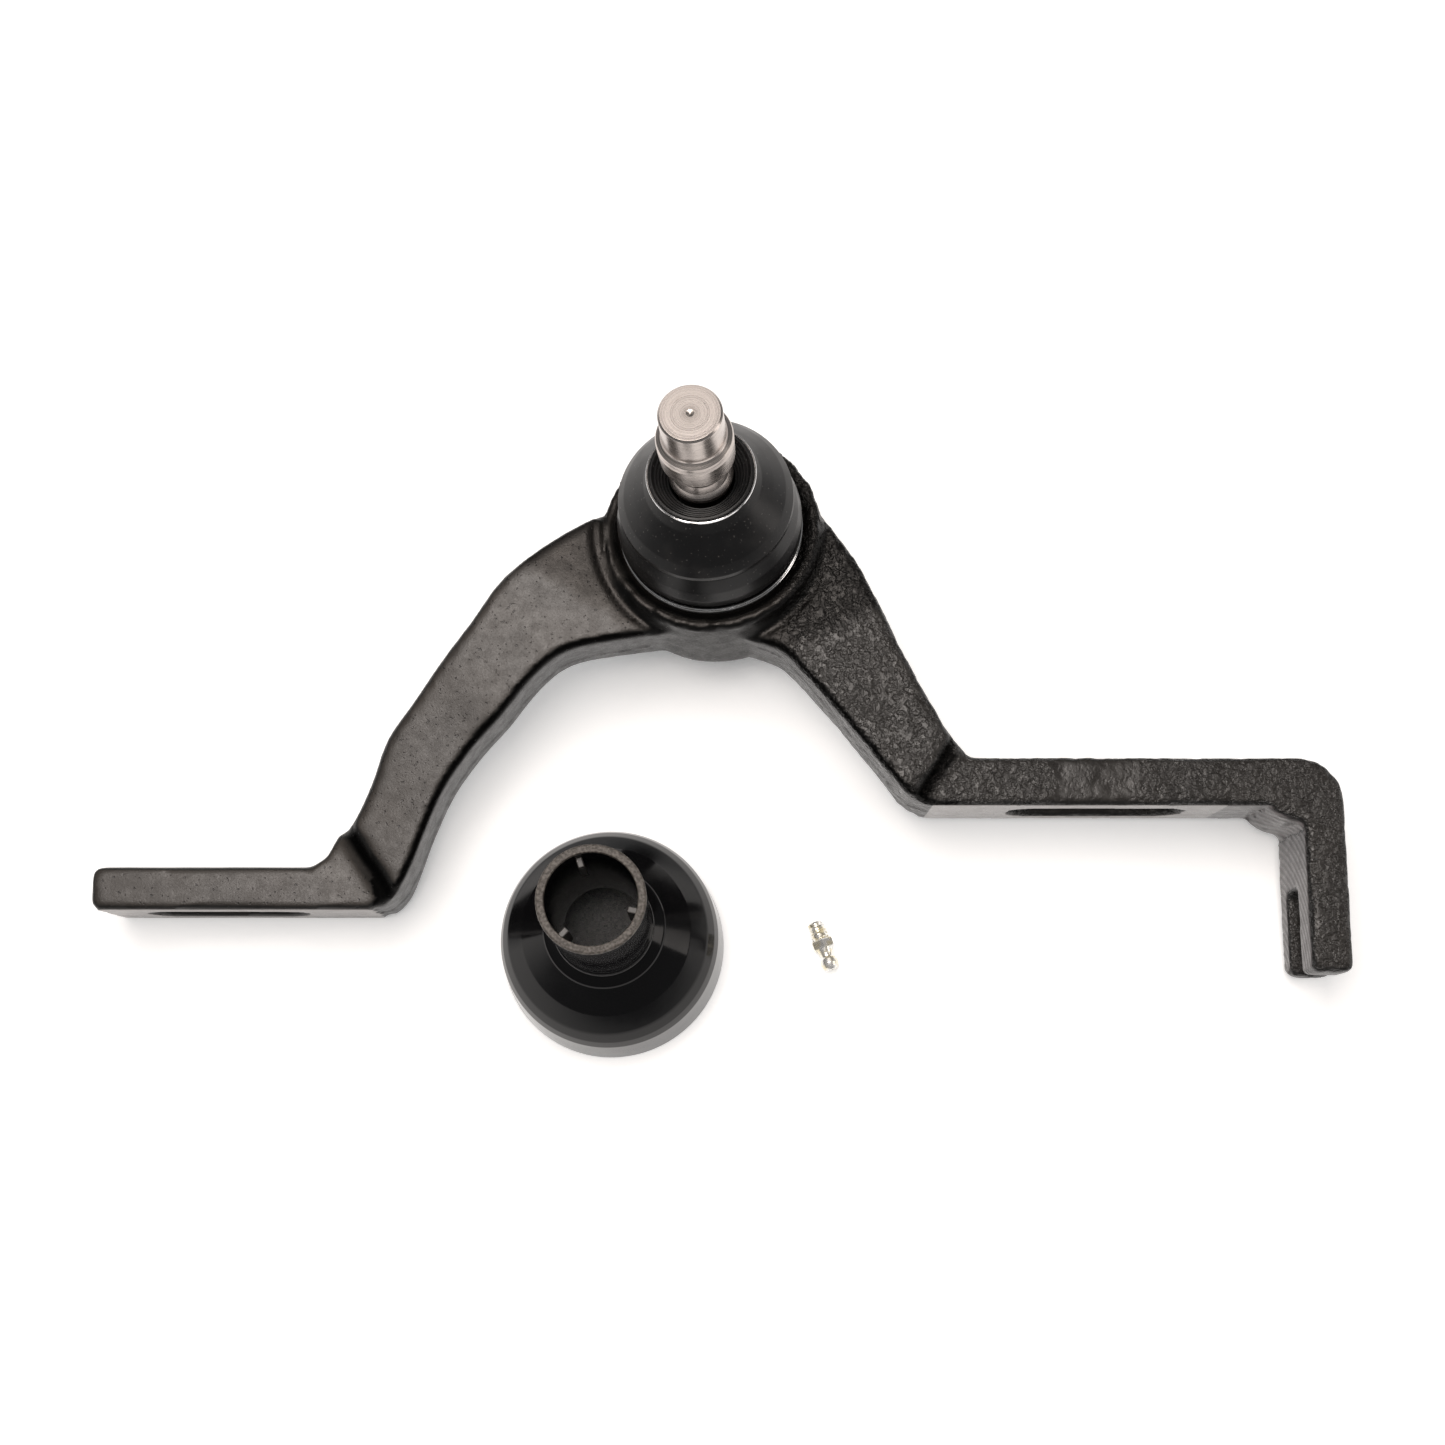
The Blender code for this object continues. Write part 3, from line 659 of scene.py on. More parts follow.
def rounded(corners: list[Colour], steps: int = 4) -> list[Point]:
    """Round the inner corners of an open profile.

    Args:
        corners: (radius, height, fillet) of each corner.
        steps: how many facets a fillet has.

    Returns:
        The profile's points.
    """
    result = [corners[0][:2]]
    for before, here, after in zip(corners, corners[1:], corners[2:]):
        middle = Vector(here[:2])
        back = Vector(before[:2]) - middle
        on = Vector(after[:2]) - middle
        if here[2] <= 0.0:
            result.append(tuple(middle))
            continue
        half = back.angle(on) / 2.0
        reach = min(here[2] / math.tan(half), back.length * 0.49, on.length * 0.49)
        start = middle + back.normalized() * reach
        stop = middle + on.normalized() * reach
        for k in range(steps + 1):
            t = k / steps
            result.append(tuple(start * (1 - t) ** 2 + middle * 2 * t * (1 - t) + stop * t * t))
    result.append(corners[-1][:2])
    return result


def arc(radius: float, start: float, stop: float, steps: int, height: float = 0.0) -> list[Point]:
    """Points on a circle centred on the axis.

    Args:
        radius: the circle's radius.
        start: first angle from the axis, in radians.
        stop: last angle from the axis.
        steps: how many facets it has.
        height: the centre's height.

    Returns:
        The (radius, height) points.
    """
    angles = [start + (stop - start) * k / steps for k in range(steps + 1)]
    return [(radius * math.sin(a), height + radius * math.cos(a)) for a in angles]


def show(name: str, data: bpy.types.ID) -> bpy.types.Object:
    """Put a new object in the scene.

    Args:
        name: its name.
        data: its mesh, light or camera.

    Returns:
        The object.
    """
    made = bpy.data.objects.new(name, data)
    bpy.context.scene.collection.objects.link(made)
    return made


def worked(piece: bpy.types.Object) -> bpy.types.Mesh:
    """Work out a piece's modifiers and take them off it.

    Args:
        piece: the object.

    Returns:
        The mesh that they make.
    """
    bpy.context.view_layer.update()
    evaluated = piece.evaluated_get(bpy.context.evaluated_depsgraph_get())
    mesh = bpy.data.meshes.new_from_object(evaluated)
    piece.modifiers.clear()
    return mesh


def finish_mesh(bm: bmesh.types.BMesh, name: str, place: Matrix, sharp: float = 35.0) -> bpy.types.Object:
    """Turn a bmesh into a finished object whose place is in its mesh.

    Args:
        bm: the mesh, in millimetres.
        name: the object's name.
        place: the frame it is drawn in.
        sharp: edges over this angle in degrees stay sharp.

    Returns:
        The object.
    """
    bmesh.ops.remove_doubles(bm, verts=bm.verts, dist=0.0005)
    bmesh.ops.recalc_face_normals(bm, faces=bm.faces)
    bmesh.ops.transform(bm, matrix=place @ Matrix.Scale(MM, 4), verts=bm.verts)
    mesh = bpy.data.meshes.new(name)
    bm.to_mesh(mesh)
    bm.free()
    mesh.shade_smooth()
    mesh.set_sharp_from_angle(angle=math.radians(sharp))
    return show(name, mesh)


def lathe(name: str, profile: list[Point], place: Matrix, steps: int = 128,
          closed: bool = False) -> bpy.types.Object:
    """Turn a profile round the z axis.

    Args:
        name: the object's name.
        profile: (radius, height) points in millimetres.
        place: the frame it is drawn in.
        steps: how many facets go round.
        closed: whether the profile is a loop.

    Returns:
        The object.
    """
    bm = bmesh.new()
    rings = []
    for radius, height in profile:
        if radius < 1e-6:
            rings.append([bm.verts.new((0.0, 0.0, height))] * steps)
            continue
        rings.append([bm.verts.new((radius * math.cos(math.tau * k / steps),
                                    radius * math.sin(math.tau * k / steps), height))
                      for k in range(steps)])
    pairs = list(zip(rings, rings[1:]))
    if closed:
        pairs.append((rings[-1], rings[0]))
    for first, second in pairs:
        for k in range(steps):
            n = (k + 1) % steps
            corners = list(dict.fromkeys((first[k], first[n], second[n], second[k])))
            if len(corners) > 2:
                bm.faces.new(corners)
    return finish_mesh(bm, name, place)


def dress(piece: bpy.types.Object, material: bpy.types.Material) -> bpy.types.Object:
    """Give a piece its only material.

    Args:
        piece: the object.
        material: its material.

    Returns:
        The object.
    """
    piece.data.materials.clear()
    piece.data.materials.append(material)
    return piece


def hand_over(piece: bpy.types.Object, body: str, slot: str, *nodes: str) -> None:
    """Put a finished piece on its body.

    Args:
        piece: the object.
        body: the body that it rides on.
        slot: the record's material slot; not used.
        *nodes: the nodes that it stands for.
    """
    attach(piece, body)
    if nodes:
        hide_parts(*nodes)
    log.info("%s rides on %s with %d faces", piece.name, body, len(piece.data.polygons))


# ---------------------------------------------------------------- geometry nodes

COIL_STEPS = 96
RING_STEPS = 96
BEAD_STEPS = 8


class NodeWork(Nodes):
    """A Geometry Nodes tree that makes one kind of repeated or swept shape."""

    def __init__(self, name: str, **inputs: float) -> None:
        """Start a tree with named number inputs.

        Args:
            name: the tree's name.
            **inputs: input names and their default values.
        """
        self.tree = bpy.data.node_groups.new(name, "GeometryNodeTree")
        self.tree.interface.new_socket("Geometry", in_out="OUTPUT", socket_type="NodeSocketGeometry")
        for key, value in inputs.items():
            socket = self.tree.interface.new_socket(key, in_out="INPUT", socket_type="NodeSocketFloat")
            socket.default_value = value
        self.source = self.add("NodeGroupInput")
        self.sink = self.add("NodeGroupOutput")

    def close(self, geometry: bpy.types.NodeSocket) -> None:
        """End the tree in Realize Instances and Set Material.

        Args:
            geometry: what the tree has made.
        """
        self.paint = self.add("GeometryNodeSetMaterial")
        real = self.make("GeometryNodeRealizeInstances", geometry)
        self.fill(self.paint, real)
        self.put(self.sink.inputs[0], self.paint.outputs[0])

    def bake(self, name: str, place: Matrix, material: bpy.types.Material,
             sharp: float = 35.0, **values: float) -> bpy.types.Object:
        """Run the tree and turn its result into a plain mesh.

        Args:
            name: the object's name.
            place: the frame it is drawn in, whose unit is the millimetre.
            material: its material.
            sharp: edges over this angle in degrees stay sharp.
            **values: values for the named inputs.

        Returns:
            The object.
        """
        self.paint.inputs["Material"].default_value = material
        holder = show(name + "_seed", bpy.data.meshes.new(name + "_seed"))
        modifier = holder.modifiers.new("Work", "NODES")
        modifier.node_group = self.tree
        names = {item.name: item.identifier for item in self.tree.interface.items_tree
                 if item.in_out == "INPUT"}
        for key, value in values.items():
            modifier[names[key]] = float(value)
        mesh = worked(holder)
        bpy.data.objects.remove(holder, do_unlink=True)
        bm = bmesh.new()
        bm.from_mesh(mesh)
        bpy.data.meshes.remove(mesh)
        return dress(finish_mesh(bm, name, place, sharp), material)


def coil_work() -> NodeWork:
    """A wire wound into a coil.

    Returns:
        The tree, with inputs Turns, Radius, End_Radius, Height, Wire and Sides.
    """
    work = NodeWork("coil", Turns=2.0, Radius=10.0, End_Radius=10.0, Height=5.0, Wire=0.5, Sides=10.0)
    spiral = work.make("GeometryNodeCurveSpiral", Resolution=COIL_STEPS, Rotations="Turns",
                       Start_Radius="Radius", End_Radius="End_Radius", Height="Height")
    circle = work.make("GeometryNodeCurvePrimitiveCircle", Resolution="Sides", Radius="Wire")
    work.close(work.make("GeometryNodeCurveToMesh", spiral, circle, Fill_Caps=True))
    return work


def ring_stack_work() -> NodeWork:
    """Rings that widen and rise in even steps.

    Returns:
        The tree, with inputs Count, Inner, Outer, Low, High and Bead.
    """
    work = NodeWork("ring_stack", Count=5.0, Inner=10.0, Outer=14.0, Low=0.0, High=2.0, Bead=0.4)
    line = work.make("GeometryNodeMeshLine", Count="Count")
    share = work.math(Op.DIVIDE, work.make("GeometryNodeInputIndex"), work.math(Op.SUBTRACT, "Count", 1.0))
    reach = work.times(share, work.math(Op.SUBTRACT, "Outer", "Inner"))
    rise = work.times(share, work.math(Op.SUBTRACT, "High", "Low"))
    place = work.make("ShaderNodeCombineXYZ", 0.0, 0.0, work.plus("Low", rise))
    spots = work.make("GeometryNodeSetPosition", Geometry=line, Position=place)
    circle = work.make("GeometryNodeCurvePrimitiveCircle", Resolution=RING_STEPS, Radius=1.0)
    radius = work.plus("Inner", reach)
    size = work.make("ShaderNodeCombineXYZ", radius, radius, 1.0)
    rings = work.make("GeometryNodeInstanceOnPoints", Points=spots, Instance=circle, Scale=size)
    real = work.make("GeometryNodeRealizeInstances", rings)
    bead = work.make("GeometryNodeCurvePrimitiveCircle", Resolution=BEAD_STEPS, Radius="Bead")
    work.close(work.make("GeometryNodeCurveToMesh", real, bead))
    return work


def fins_work() -> NodeWork:
    """Small upright fins round an axis.

    Returns:
        The tree, with inputs Count, First, Radius, Low, Deep, Wide and Tall.
    """
    work = NodeWork("fins", Count=3.0, First=0.0, Radius=12.0, Low=0.0, Deep=3.0, Wide=2.0, Tall=10.0)
    line = work.make("GeometryNodeMeshLine", Count="Count")
    index = work.make("GeometryNodeInputIndex")
    angle = work.plus("First", work.times(index, work.math(Op.DIVIDE, math.tau, "Count")))
    place = work.make("ShaderNodeCombineXYZ", work.times("Radius", work.math(Op.COSINE, angle)),
                      work.times("Radius", work.math(Op.SINE, angle)),
                      work.plus("Low", work.times("Tall", 0.5)))
    spots = work.make("GeometryNodeSetPosition", Geometry=line, Position=place)
    cube = work.make("GeometryNodeMeshCube", Size=work.make("ShaderNodeCombineXYZ", "Deep", "Wide", "Tall"))
    turn = work.make("ShaderNodeCombineXYZ", 0.0, 0.0, angle)
    work.close(work.make("GeometryNodeInstanceOnPoints", Points=spots, Instance=cube, Rotation=turn))
    return work


# ---------------------------------------------------------------- the forging


@dataclass
class Forging:
    """The forged arm, softened where the dies round it and crisp where it is milled."""

    voxel: float = 1.15
    smooth_rounds: int = 8
    relax: Point = (0.62, -0.40)
    crisp: float = 0.5
    pits: float = 0.30
    waves: float = 0.22
    seam: float = 0.35
    rough_from: float = 14.0
    rough_over: float = 20.0
    housing: Point = (-4.0, 52.0)
    housing_reach: float = 36.0
    arm_span: Point = (-108.0, 72.0)
    wall_reach: float = 44.0
    # How strong the painted shade is on the housing's wall and along the inner top edges.
    housing_wall_shade: float = 0.5
    inner_edge_shade: float = 0.9
    shade: float = 0.62
    elbows: tuple[tuple[Point, Point, float], ...] = (
        ((-115.2, -38.2), (-103.0, -55.6), 2.3), ((69.8, -13.0), (59.4, -30.6), 1.5))
    rim: float = 32.4
    layers: tuple[tuple[float, Colour], ...] = (
        (0.11, (0.0, 0.0, 0.0)), (0.30, (31.0, 7.0, 3.0)), (0.62, (5.0, 17.0, 43.0)))
    shaded: tuple[tuple[Point, Point], ...] = (
        ((-59.2, 40.2), (0.508, 0.862)), ((23.8, 15.6), (-0.452, 0.892)))
    finish: ForgedPaint = field(default_factory=ForgedPaint)

    def build(self) -> None:
        """Make the forging's fine surface from its solid."""
        source = frame["nodes"]["arm_forging"]
        bm = bmesh.new()
        bm.from_mesh(source.data)
        bmesh.ops.remove_doubles(bm, verts=bm.verts, dist=0.00002)
        mesh = bpy.data.meshes.new("forging_body")
        bm.to_mesh(mesh)
        bm.free()
        piece = show("forging_body", mesh)
        remesh = piece.modifiers.new("Skin", "REMESH")
        remesh.mode = "VOXEL"
        remesh.voxel_size = self.voxel * MM
        piece.data = worked(piece)
        self.shape(piece.data)
        piece.data.shade_smooth()
        hand_over(dress(piece, self.finish.make()), "arm", "black_paint", "arm_forging")

    def shape(self, mesh: bpy.types.Mesh) -> None:
        """Soften the skin, sharpen its milled faces, give it the marks of forging and store its painted
        shade.

        Args:
            mesh: the mesh to change, in the row frame.
        """
        place = np.array(arm_place())
        inverse = np.linalg.inv(place)
        points = np.empty(len(mesh.vertices) * 3)
        mesh.vertices.foreach_get("co", points)
        points = points.reshape(-1, 3) @ inverse[:3, :3].T + inverse[:3, 3]
        points /= MM
        ends = np.empty(len(mesh.edges) * 2, dtype=np.int64)
        mesh.edges.foreach_get("vertices", ends)
        ends = ends.reshape(-1, 2)
        points = self.soften(points, ends)
        normals = self.normals(mesh, points, place, inverse)
        out, seam = self.relief(points, normals)
        points += normals * out[:, None]
        # The painted shade is kept as the 'seam' attribute, which the paint reads.
        mark = mesh.attributes.new("seam", "FLOAT", "POINT")
        mark.data.foreach_set("value", seam.astype(np.float32))
        points = self.sharpen(points)
        points *= MM
        world = points @ place[:3, :3].T + place[:3, 3]
        mesh.vertices.foreach_set("co", world.astype(np.float32).ravel())
        mesh.update()

    def soften(self, points: np.ndarray, ends: np.ndarray) -> np.ndarray:
        """Relax the skin without shrinking it.

        Args:
            points: the vertices in the arm frame.
            ends: the vertices of each edge.

        Returns:
            The moved vertices.
        """
        count = len(points)
        degree = np.bincount(ends.ravel(), minlength=count).astype(float)[:, None]
        for i in range(self.smooth_rounds * 2):
            share = self.relax[i % 2]
            total = np.zeros_like(points)
            for axis in range(3):
                total[:, axis] = (np.bincount(ends[:, 0], points[ends[:, 1], axis], count)
                                  + np.bincount(ends[:, 1], points[ends[:, 0], axis], count))
            points = points + share * (total / degree - points)
        return points

    def normals(self, mesh: bpy.types.Mesh, points: np.ndarray, place: np.ndarray,
                inverse: np.ndarray) -> np.ndarray:
        """Work out the vertex normals of the softened skin.

        Args:
            mesh: the mesh, whose faces are used.
            points: the vertices in the arm frame.
            place: the arm frame's matrix.
            inverse: its inverse.

        Returns:
            One unit vector for each vertex, in the arm frame.
        """
        world = (points * MM) @ place[:3, :3].T + place[:3, 3]
        mesh.vertices.foreach_set("co", world.astype(np.float32).ravel())
        mesh.update()
        flat = np.empty(len(points) * 3)
        mesh.vertex_normals.foreach_get("vector", flat)
        return flat.reshape(-1, 3) @ inverse[:3, :3].T

    def relief(self, points: np.ndarray, normals: np.ndarray) -> tuple[np.ndarray, np.ndarray]:
        """How far each point stands out for the forging's waves, pits and seam.

        Args:
            points: the vertices in the arm frame.
            normals: their normals.

        Returns:
            One distance for each vertex, in millimetres, and how much painted shade it gets.
        """
        x, y, z = points.T
        up = normals[:, 2]
        rough = np.clip((x - self.rough_from) / self.rough_over, 0.0, 1.0)
        broad, fine, grit = (np.array([noise.noise(Vector(p) * scale + Vector(shift)) for p in points])
                             for scale, shift in self.layers)
        out = self.waves * broad * (0.15 + 0.85 * rough)
        pits = np.minimum(fine + 0.6 * grit, 0.25)
        out += self.pits * pits * (0.10 + 0.90 * rough)
        middle_left = 5.5 + (y + 42.0) * 0.165
        middle_right = np.interp(y, (-31.0, 0.0), (16.0, 24.0))
        middle = np.where(x < 0.0, middle_left, middle_right) + 1.1 * broad
        ridge = np.exp(-((z - middle) / 0.7) ** 2) * (np.abs(up) < 0.5)
        from_housing = np.hypot(x - self.housing[0], y - self.housing[1])
        on_arms = (from_housing > self.housing_reach) & (x < self.arm_span[1]) & (x > self.arm_span[0])
        out += self.seam * ridge * on_arms
        # Painted shade under the parting line's ridge, on the left arm.
        foot = np.exp(-((z - middle + 1.3) / 0.6) ** 2) * (np.abs(up) < 0.5)
        painted_shade = foot * on_arms * (x < 0.0)
        upward = np.clip(up * 4.0 - 1.0, 0.0, 1.0)
        # Each elbow band is pressed in and gets painted shade.
        for start, stop, half in self.elbows:
            run = np.array(stop) - np.array(start)
            length = float(np.hypot(*run))
            along = ((x - start[0]) * run[0] + (y - start[1]) * run[1]) / length
            off = ((x - start[0]) * run[1] - (y - start[1]) * run[0]) / length + 0.6 * broad
            inside = (along > -3.0) & (along < length + 3.0)
            band = np.exp(-np.abs(off / half) ** 4) * inside * upward
            out -= 0.7 * band
            painted_shade = np.maximum(painted_shade, band)
        to_joint = np.array(joint_place().inverted() @ arm_place())
        turned = points @ to_joint[:3, :3].T + to_joint[:3, 3] / MM
        reach = np.hypot(turned[:, 0], turned[:, 1])
        upward = upward * (turned[:, 2] > 6.0)
        rim = np.exp(-((reach - self.rim) / 1.5) ** 2) * upward
        out += rim * (0.8 + 0.45 * fine + 0.4 * grit)
        out -= 0.9 * np.exp(-((reach - self.rim - 3.9) / 1.2) ** 2) * upward
        # Painted shade on upward faces beyond each shaded line.
        for point, across in self.shaded:
            beyond = (x - point[0]) * across[0] + (y - point[1]) * across[1] + 1.6 * fine + 1.0 * grit
            side = np.sign(point[0]) * x > -4.0
            painted_shade = np.maximum(painted_shade, self.shade * np.clip(beyond / 4.0, 0.0, 1.0) * side * (up > 0.3))
        # Painted shade on the housing's side wall.
        wall = (reach < self.wall_reach) * (up < 0.6)
        painted_shade = np.maximum(painted_shade, self.housing_wall_shade * wall)
        # Painted shade along the inner top edges of the arms.
        edge = np.clip((0.955 - up) / 0.05, 0.0, 1.0) * np.clip(up / 0.25, 0.0, 1.0)
        inner = on_arms * (normals[:, 1] < -0.12) * (y < 30.0)
        return out, np.maximum(painted_shade, self.inner_edge_shade * edge * inner)

    def sharpen(self, points: np.ndarray) -> np.ndarray:
        """Press the milled faces flat.

        Args:
            points: the vertices in the arm frame.

        Returns:
            The moved vertices.
        """
        x, y, z = points.T
        paint = self.finish
        front = (x > paint.bar_start) & (x < 166.8) & (y < paint.bar_front + self.crisp)
        y[front] = paint.bar_front
        front = (x < -100.0) & (y < paint.left_front + self.crisp)
        y[front] = paint.left_front
        face = (np.abs(x - paint.leg_face) < self.crisp) & (y < -39.5)
        x[face] = paint.leg_face
        return np.stack((x, y, z), axis=1)


# ---------------------------------------------------------------- the ball joint


@dataclass
class BallJoint:
    """Stud, boot and rings, and the bearing inside the housing."""

    clamp: float = 17.0
    ball: float = 16.0
    stud_end: float = 90.2
    collar_low: float = 65.4
    collar_high: float = 76.6
    crease: float = 34.4
    mouth: float = 54.4
    wall: float = 2.0

    def __post_init__(self) -> None:
        """Find the joint's frame."""
        self.place = joint_place()

    def build(self) -> None:
        """Make every piece of the joint."""
        self.stud()
        self.boot_skirt()
        self.boot_dome()
        self.rings()
        self.inside()

    def stud(self) -> None:
        """The ball stud, with its centre hole, chamfer, collar and waist."""
        top = self.stud_end
        neck = 7.0
        shaft = rounded([
            (0.0, top - 0.5, 0), (0.7, top - 0.22, 0.2), (1.2, top - 0.10, 0.1), (8.6, top, 0.15),
            (9.2, top - 0.55, 0.3), (9.25, top - 8.2, 0.6), (9.3, self.collar_high + 2.0, 0.8),
            (9.5, self.collar_high + 1.2, 0.8), (10.9, self.collar_high + 0.35, 0.4),
            (11.25, self.collar_high - 0.5, 0.4), (10.75, self.collar_high - 1.5, 0.3),
            (11.2, self.collar_high - 2.4, 0.3), (10.95, self.collar_low + 1.0, 0.5),
            (10.2, self.collar_low - 0.1, 0.4), (8.0, self.collar_low - 1.0, 0.8),
            (7.3, self.collar_low - 3.5, 2.0), (7.5, self.collar_low - 6.4, 1.5),
            (8.4, self.collar_low - 9.0, 1.2), (9.55, self.collar_low - 11.0, 0.4),
            (9.55, self.clamp + 36.0, 0.4), (8.6, self.clamp + 34.6, 0.5), (neck, 30.0, 2.0),
            (neck, math.sqrt(self.ball ** 2 - neck ** 2), 0)], 6)
        ball = arc(self.ball, math.asin(neck / self.ball), math.pi, 40)[1:]
        piece = dress(lathe("stud_turned", shaft + ball, self.place, 160), STEEL.make(self.place))
        hand_over(piece, "stud", "turned_steel", "ball_stud")

    def boot_skirt(self) -> None:
        """The boot's lower bulge, from the clamp ring to the crease."""
        low = self.clamp
        outside = rounded([
            (24.3, self.crease, 0), (25.4, low + 15.6, 0.8), (27.5, low + 11.0, 3.0),
            (28.45, low + 7.0, 3.0), (28.4, low + 4.0, 2.0), (27.9, low + 2.6, 0.8),
            (27.1, low + 1.8, 0.5), (27.1, low - 1.8, 0.4), (28.3, low - 2.3, 0.3),
            (28.3, low - 2.8, 0.2), (24.0, low - 2.8, 0.2), (24.0, low + 3.0, 1.0),
            (26.0, low + 7.0, 2.0), (24.2, low + 12.5, 2.0), (22.8, self.crease - 0.4, 0)], 5)
        piece = dress(lathe("boot_skirt", outside, self.place, 144, closed=True), RUBBER.make())
        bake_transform(piece)
        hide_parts("dust_boot")
        log.info("%s bends between arm and bearing_shell", piece.name)

    def boot_dome(self) -> None:
        """The boot's upper dome with the ribbed mouth."""
        low = self.clamp
        top = self.mouth
        outside = rounded([
            (23.0, self.crease - 1.0, 0), (25.5, self.crease - 0.1, 0.4), (26.6, low + 18.6, 0.7),
            (26.5, low + 20.4, 0.8), (24.4, low + 23.6, 6.0), (20.9, low + 27.8, 8.0),
            (17.6, low + 31.6, 6.0), (15.6, low + 34.6, 1.0), (15.5, low + 35.6, 0.3),
            (15.9, low + 36.0, 0.2), (15.5, top - 0.2, 0.3), (14.7, top, 0.3),
            (13.6, top - 1.5, 0.4), (9.8, top - 4.2, 0.4), (9.7, top - 6.2, 0.4),
            (15.0, top - 7.0, 1.5), (19.0, low + 26.0, 6.0), (23.6, low + 20.4, 1.5),
            (23.0, low + 18.0, 0.5)], 5)
        piece = dress(lathe("boot_dome", outside, self.place, 144, closed=True), RUBBER.make())
        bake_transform(piece)
        log.info("%s bends between bearing_shell and boot_neck", piece.name)
        ribs = ring_stack_work().bake("boot_ribs", self.place, RUBBER.make(), Count=5, Inner=10.1,
                                      Outer=13.7, Low=top - 4.0, High=top - 1.35, Bead=0.38)
        hand_over(ribs, "boot_neck", "boot_rubber")

    def rings(self) -> None:
        """The two-turn clamp ring and the thin ring round the mouth."""
        coil = coil_work()
        pitch = 1.25
        turns = 1.96
        start = self.place @ Matrix.Translation((0.0, 0.0, (self.clamp - pitch * turns / 2.0) * MM))
        clamp = coil.bake("clamp_ring", start, WIRE.make(), Turns=turns, Radius=28.05,
                          End_Radius=28.05, Height=pitch * turns, Wire=0.5)
        hand_over(clamp, "arm", "bright_wire", "boot_clamp_ring")
        ring = ring_stack_work().bake("neck_ring", self.place, WIRE.make(), Count=2, Inner=16.0,
                                      Outer=16.05, Low=self.clamp + 36.2, High=self.clamp + 36.6,
                                      Bead=0.3)
        hand_over(ring, "boot_neck", "bright_wire", "boot_neck_ring")

    def inside(self) -> None:
        """Dress the pieces that stay as their solids inside the housing."""
        for name, finish in (("upper_bearing", POLYMER.make()), ("lower_bearing", POLYMER.make()),
                             ("preload_washer", SPRING.make(self.place)),
                             ("cover_plate", COVER.make(self.place))):
            dress(frame["nodes"][name], finish)
            log.info("%s keeps its solid", name)


# ---------------------------------------------------------------- the loose pieces


@dataclass
class DustShield:
    """The bell-shaped shield that stands on the floor."""

    height: float = 82.0
    base: float = 35.4
    shoulder: Point = (34.1, 16.0)
    neck_foot: Point = (14.7, 41.0)
    rim: float = 15.8
    wall: float = 2.6
    first_rib: float = math.radians(108.0)

    def build(self) -> None:
        """Make the bell and the ribs in its neck."""
        place = shield_place()
        foot_r, foot_z = self.neck_foot
        out_r, out_z = self.shoulder
        top = self.height
        wall = self.wall
        profile = rounded([
            (self.rim - 2.5, top - 0.6, 0), (self.rim - 2.3, top, 0.3), (self.rim - 0.5, top, 0.35),
            (self.rim, top - 0.7, 0.4), (self.rim - 0.04, top - 2.2, 0), (foot_r + 0.55, 61.0, 0),
            (foot_r + 0.04, foot_z + 1.4, 0), (foot_r, foot_z, 0.2), (foot_r + 0.55, foot_z - 0.3, 0.15),
            (foot_r + 0.6, foot_z - 2.2, 0.8), (foot_r + 3.3, foot_z - 4.6, 0.8),
            (foot_r + 3.7, foot_z - 4.75, 0.12), (foot_r + 4.1, foot_z - 5.3, 0.3), (26.0, 28.6, 9.0),
            (31.0, 22.9, 6.0), (33.0, 19.3, 3.0), (out_r, out_z, 2.0), (self.base, 0.5, 0.6),
            (self.base - 0.4, 0.0, 0.3), (self.base - wall, 0.0, 0.3), (out_r - wall, out_z - 1.0, 2.0),
            (31.0 - wall, 20.2, 3.0), (26.0 - wall, 25.8, 6.0), (foot_r + 1.2, foot_z - 8.0, 3.0),
            (foot_r - wall, foot_z - 5.5, 2.0), (foot_r - wall, foot_z, 2.0)], 6)
        rim_height = place.translation.z + (top - 0.75) * MM
        bell = dress(lathe("shield_bell", profile, place, 176, closed=True), GLOSS.make(rim_height))
        hand_over(bell, "shield", "shield_plastic", "dust_shield")
        rib = Moulded("shield_rib", (0.055, 0.052, 0.050), (0.35, 0.5), 0.4, 0.02, 0.2)
        fins = fins_work().bake("shield_ribs", place, rib.make(), Count=3, First=self.first_rib,
                                Radius=12.0, Low=top - 18.0, Deep=3.3, Wide=1.9, Tall=13.5)
        bevel = fins.modifiers.new("Edge", "BEVEL")
        bevel.width = 0.35 * MM
        bevel.segments = 3
        hand_over(fins, "shield", "shield_plastic")


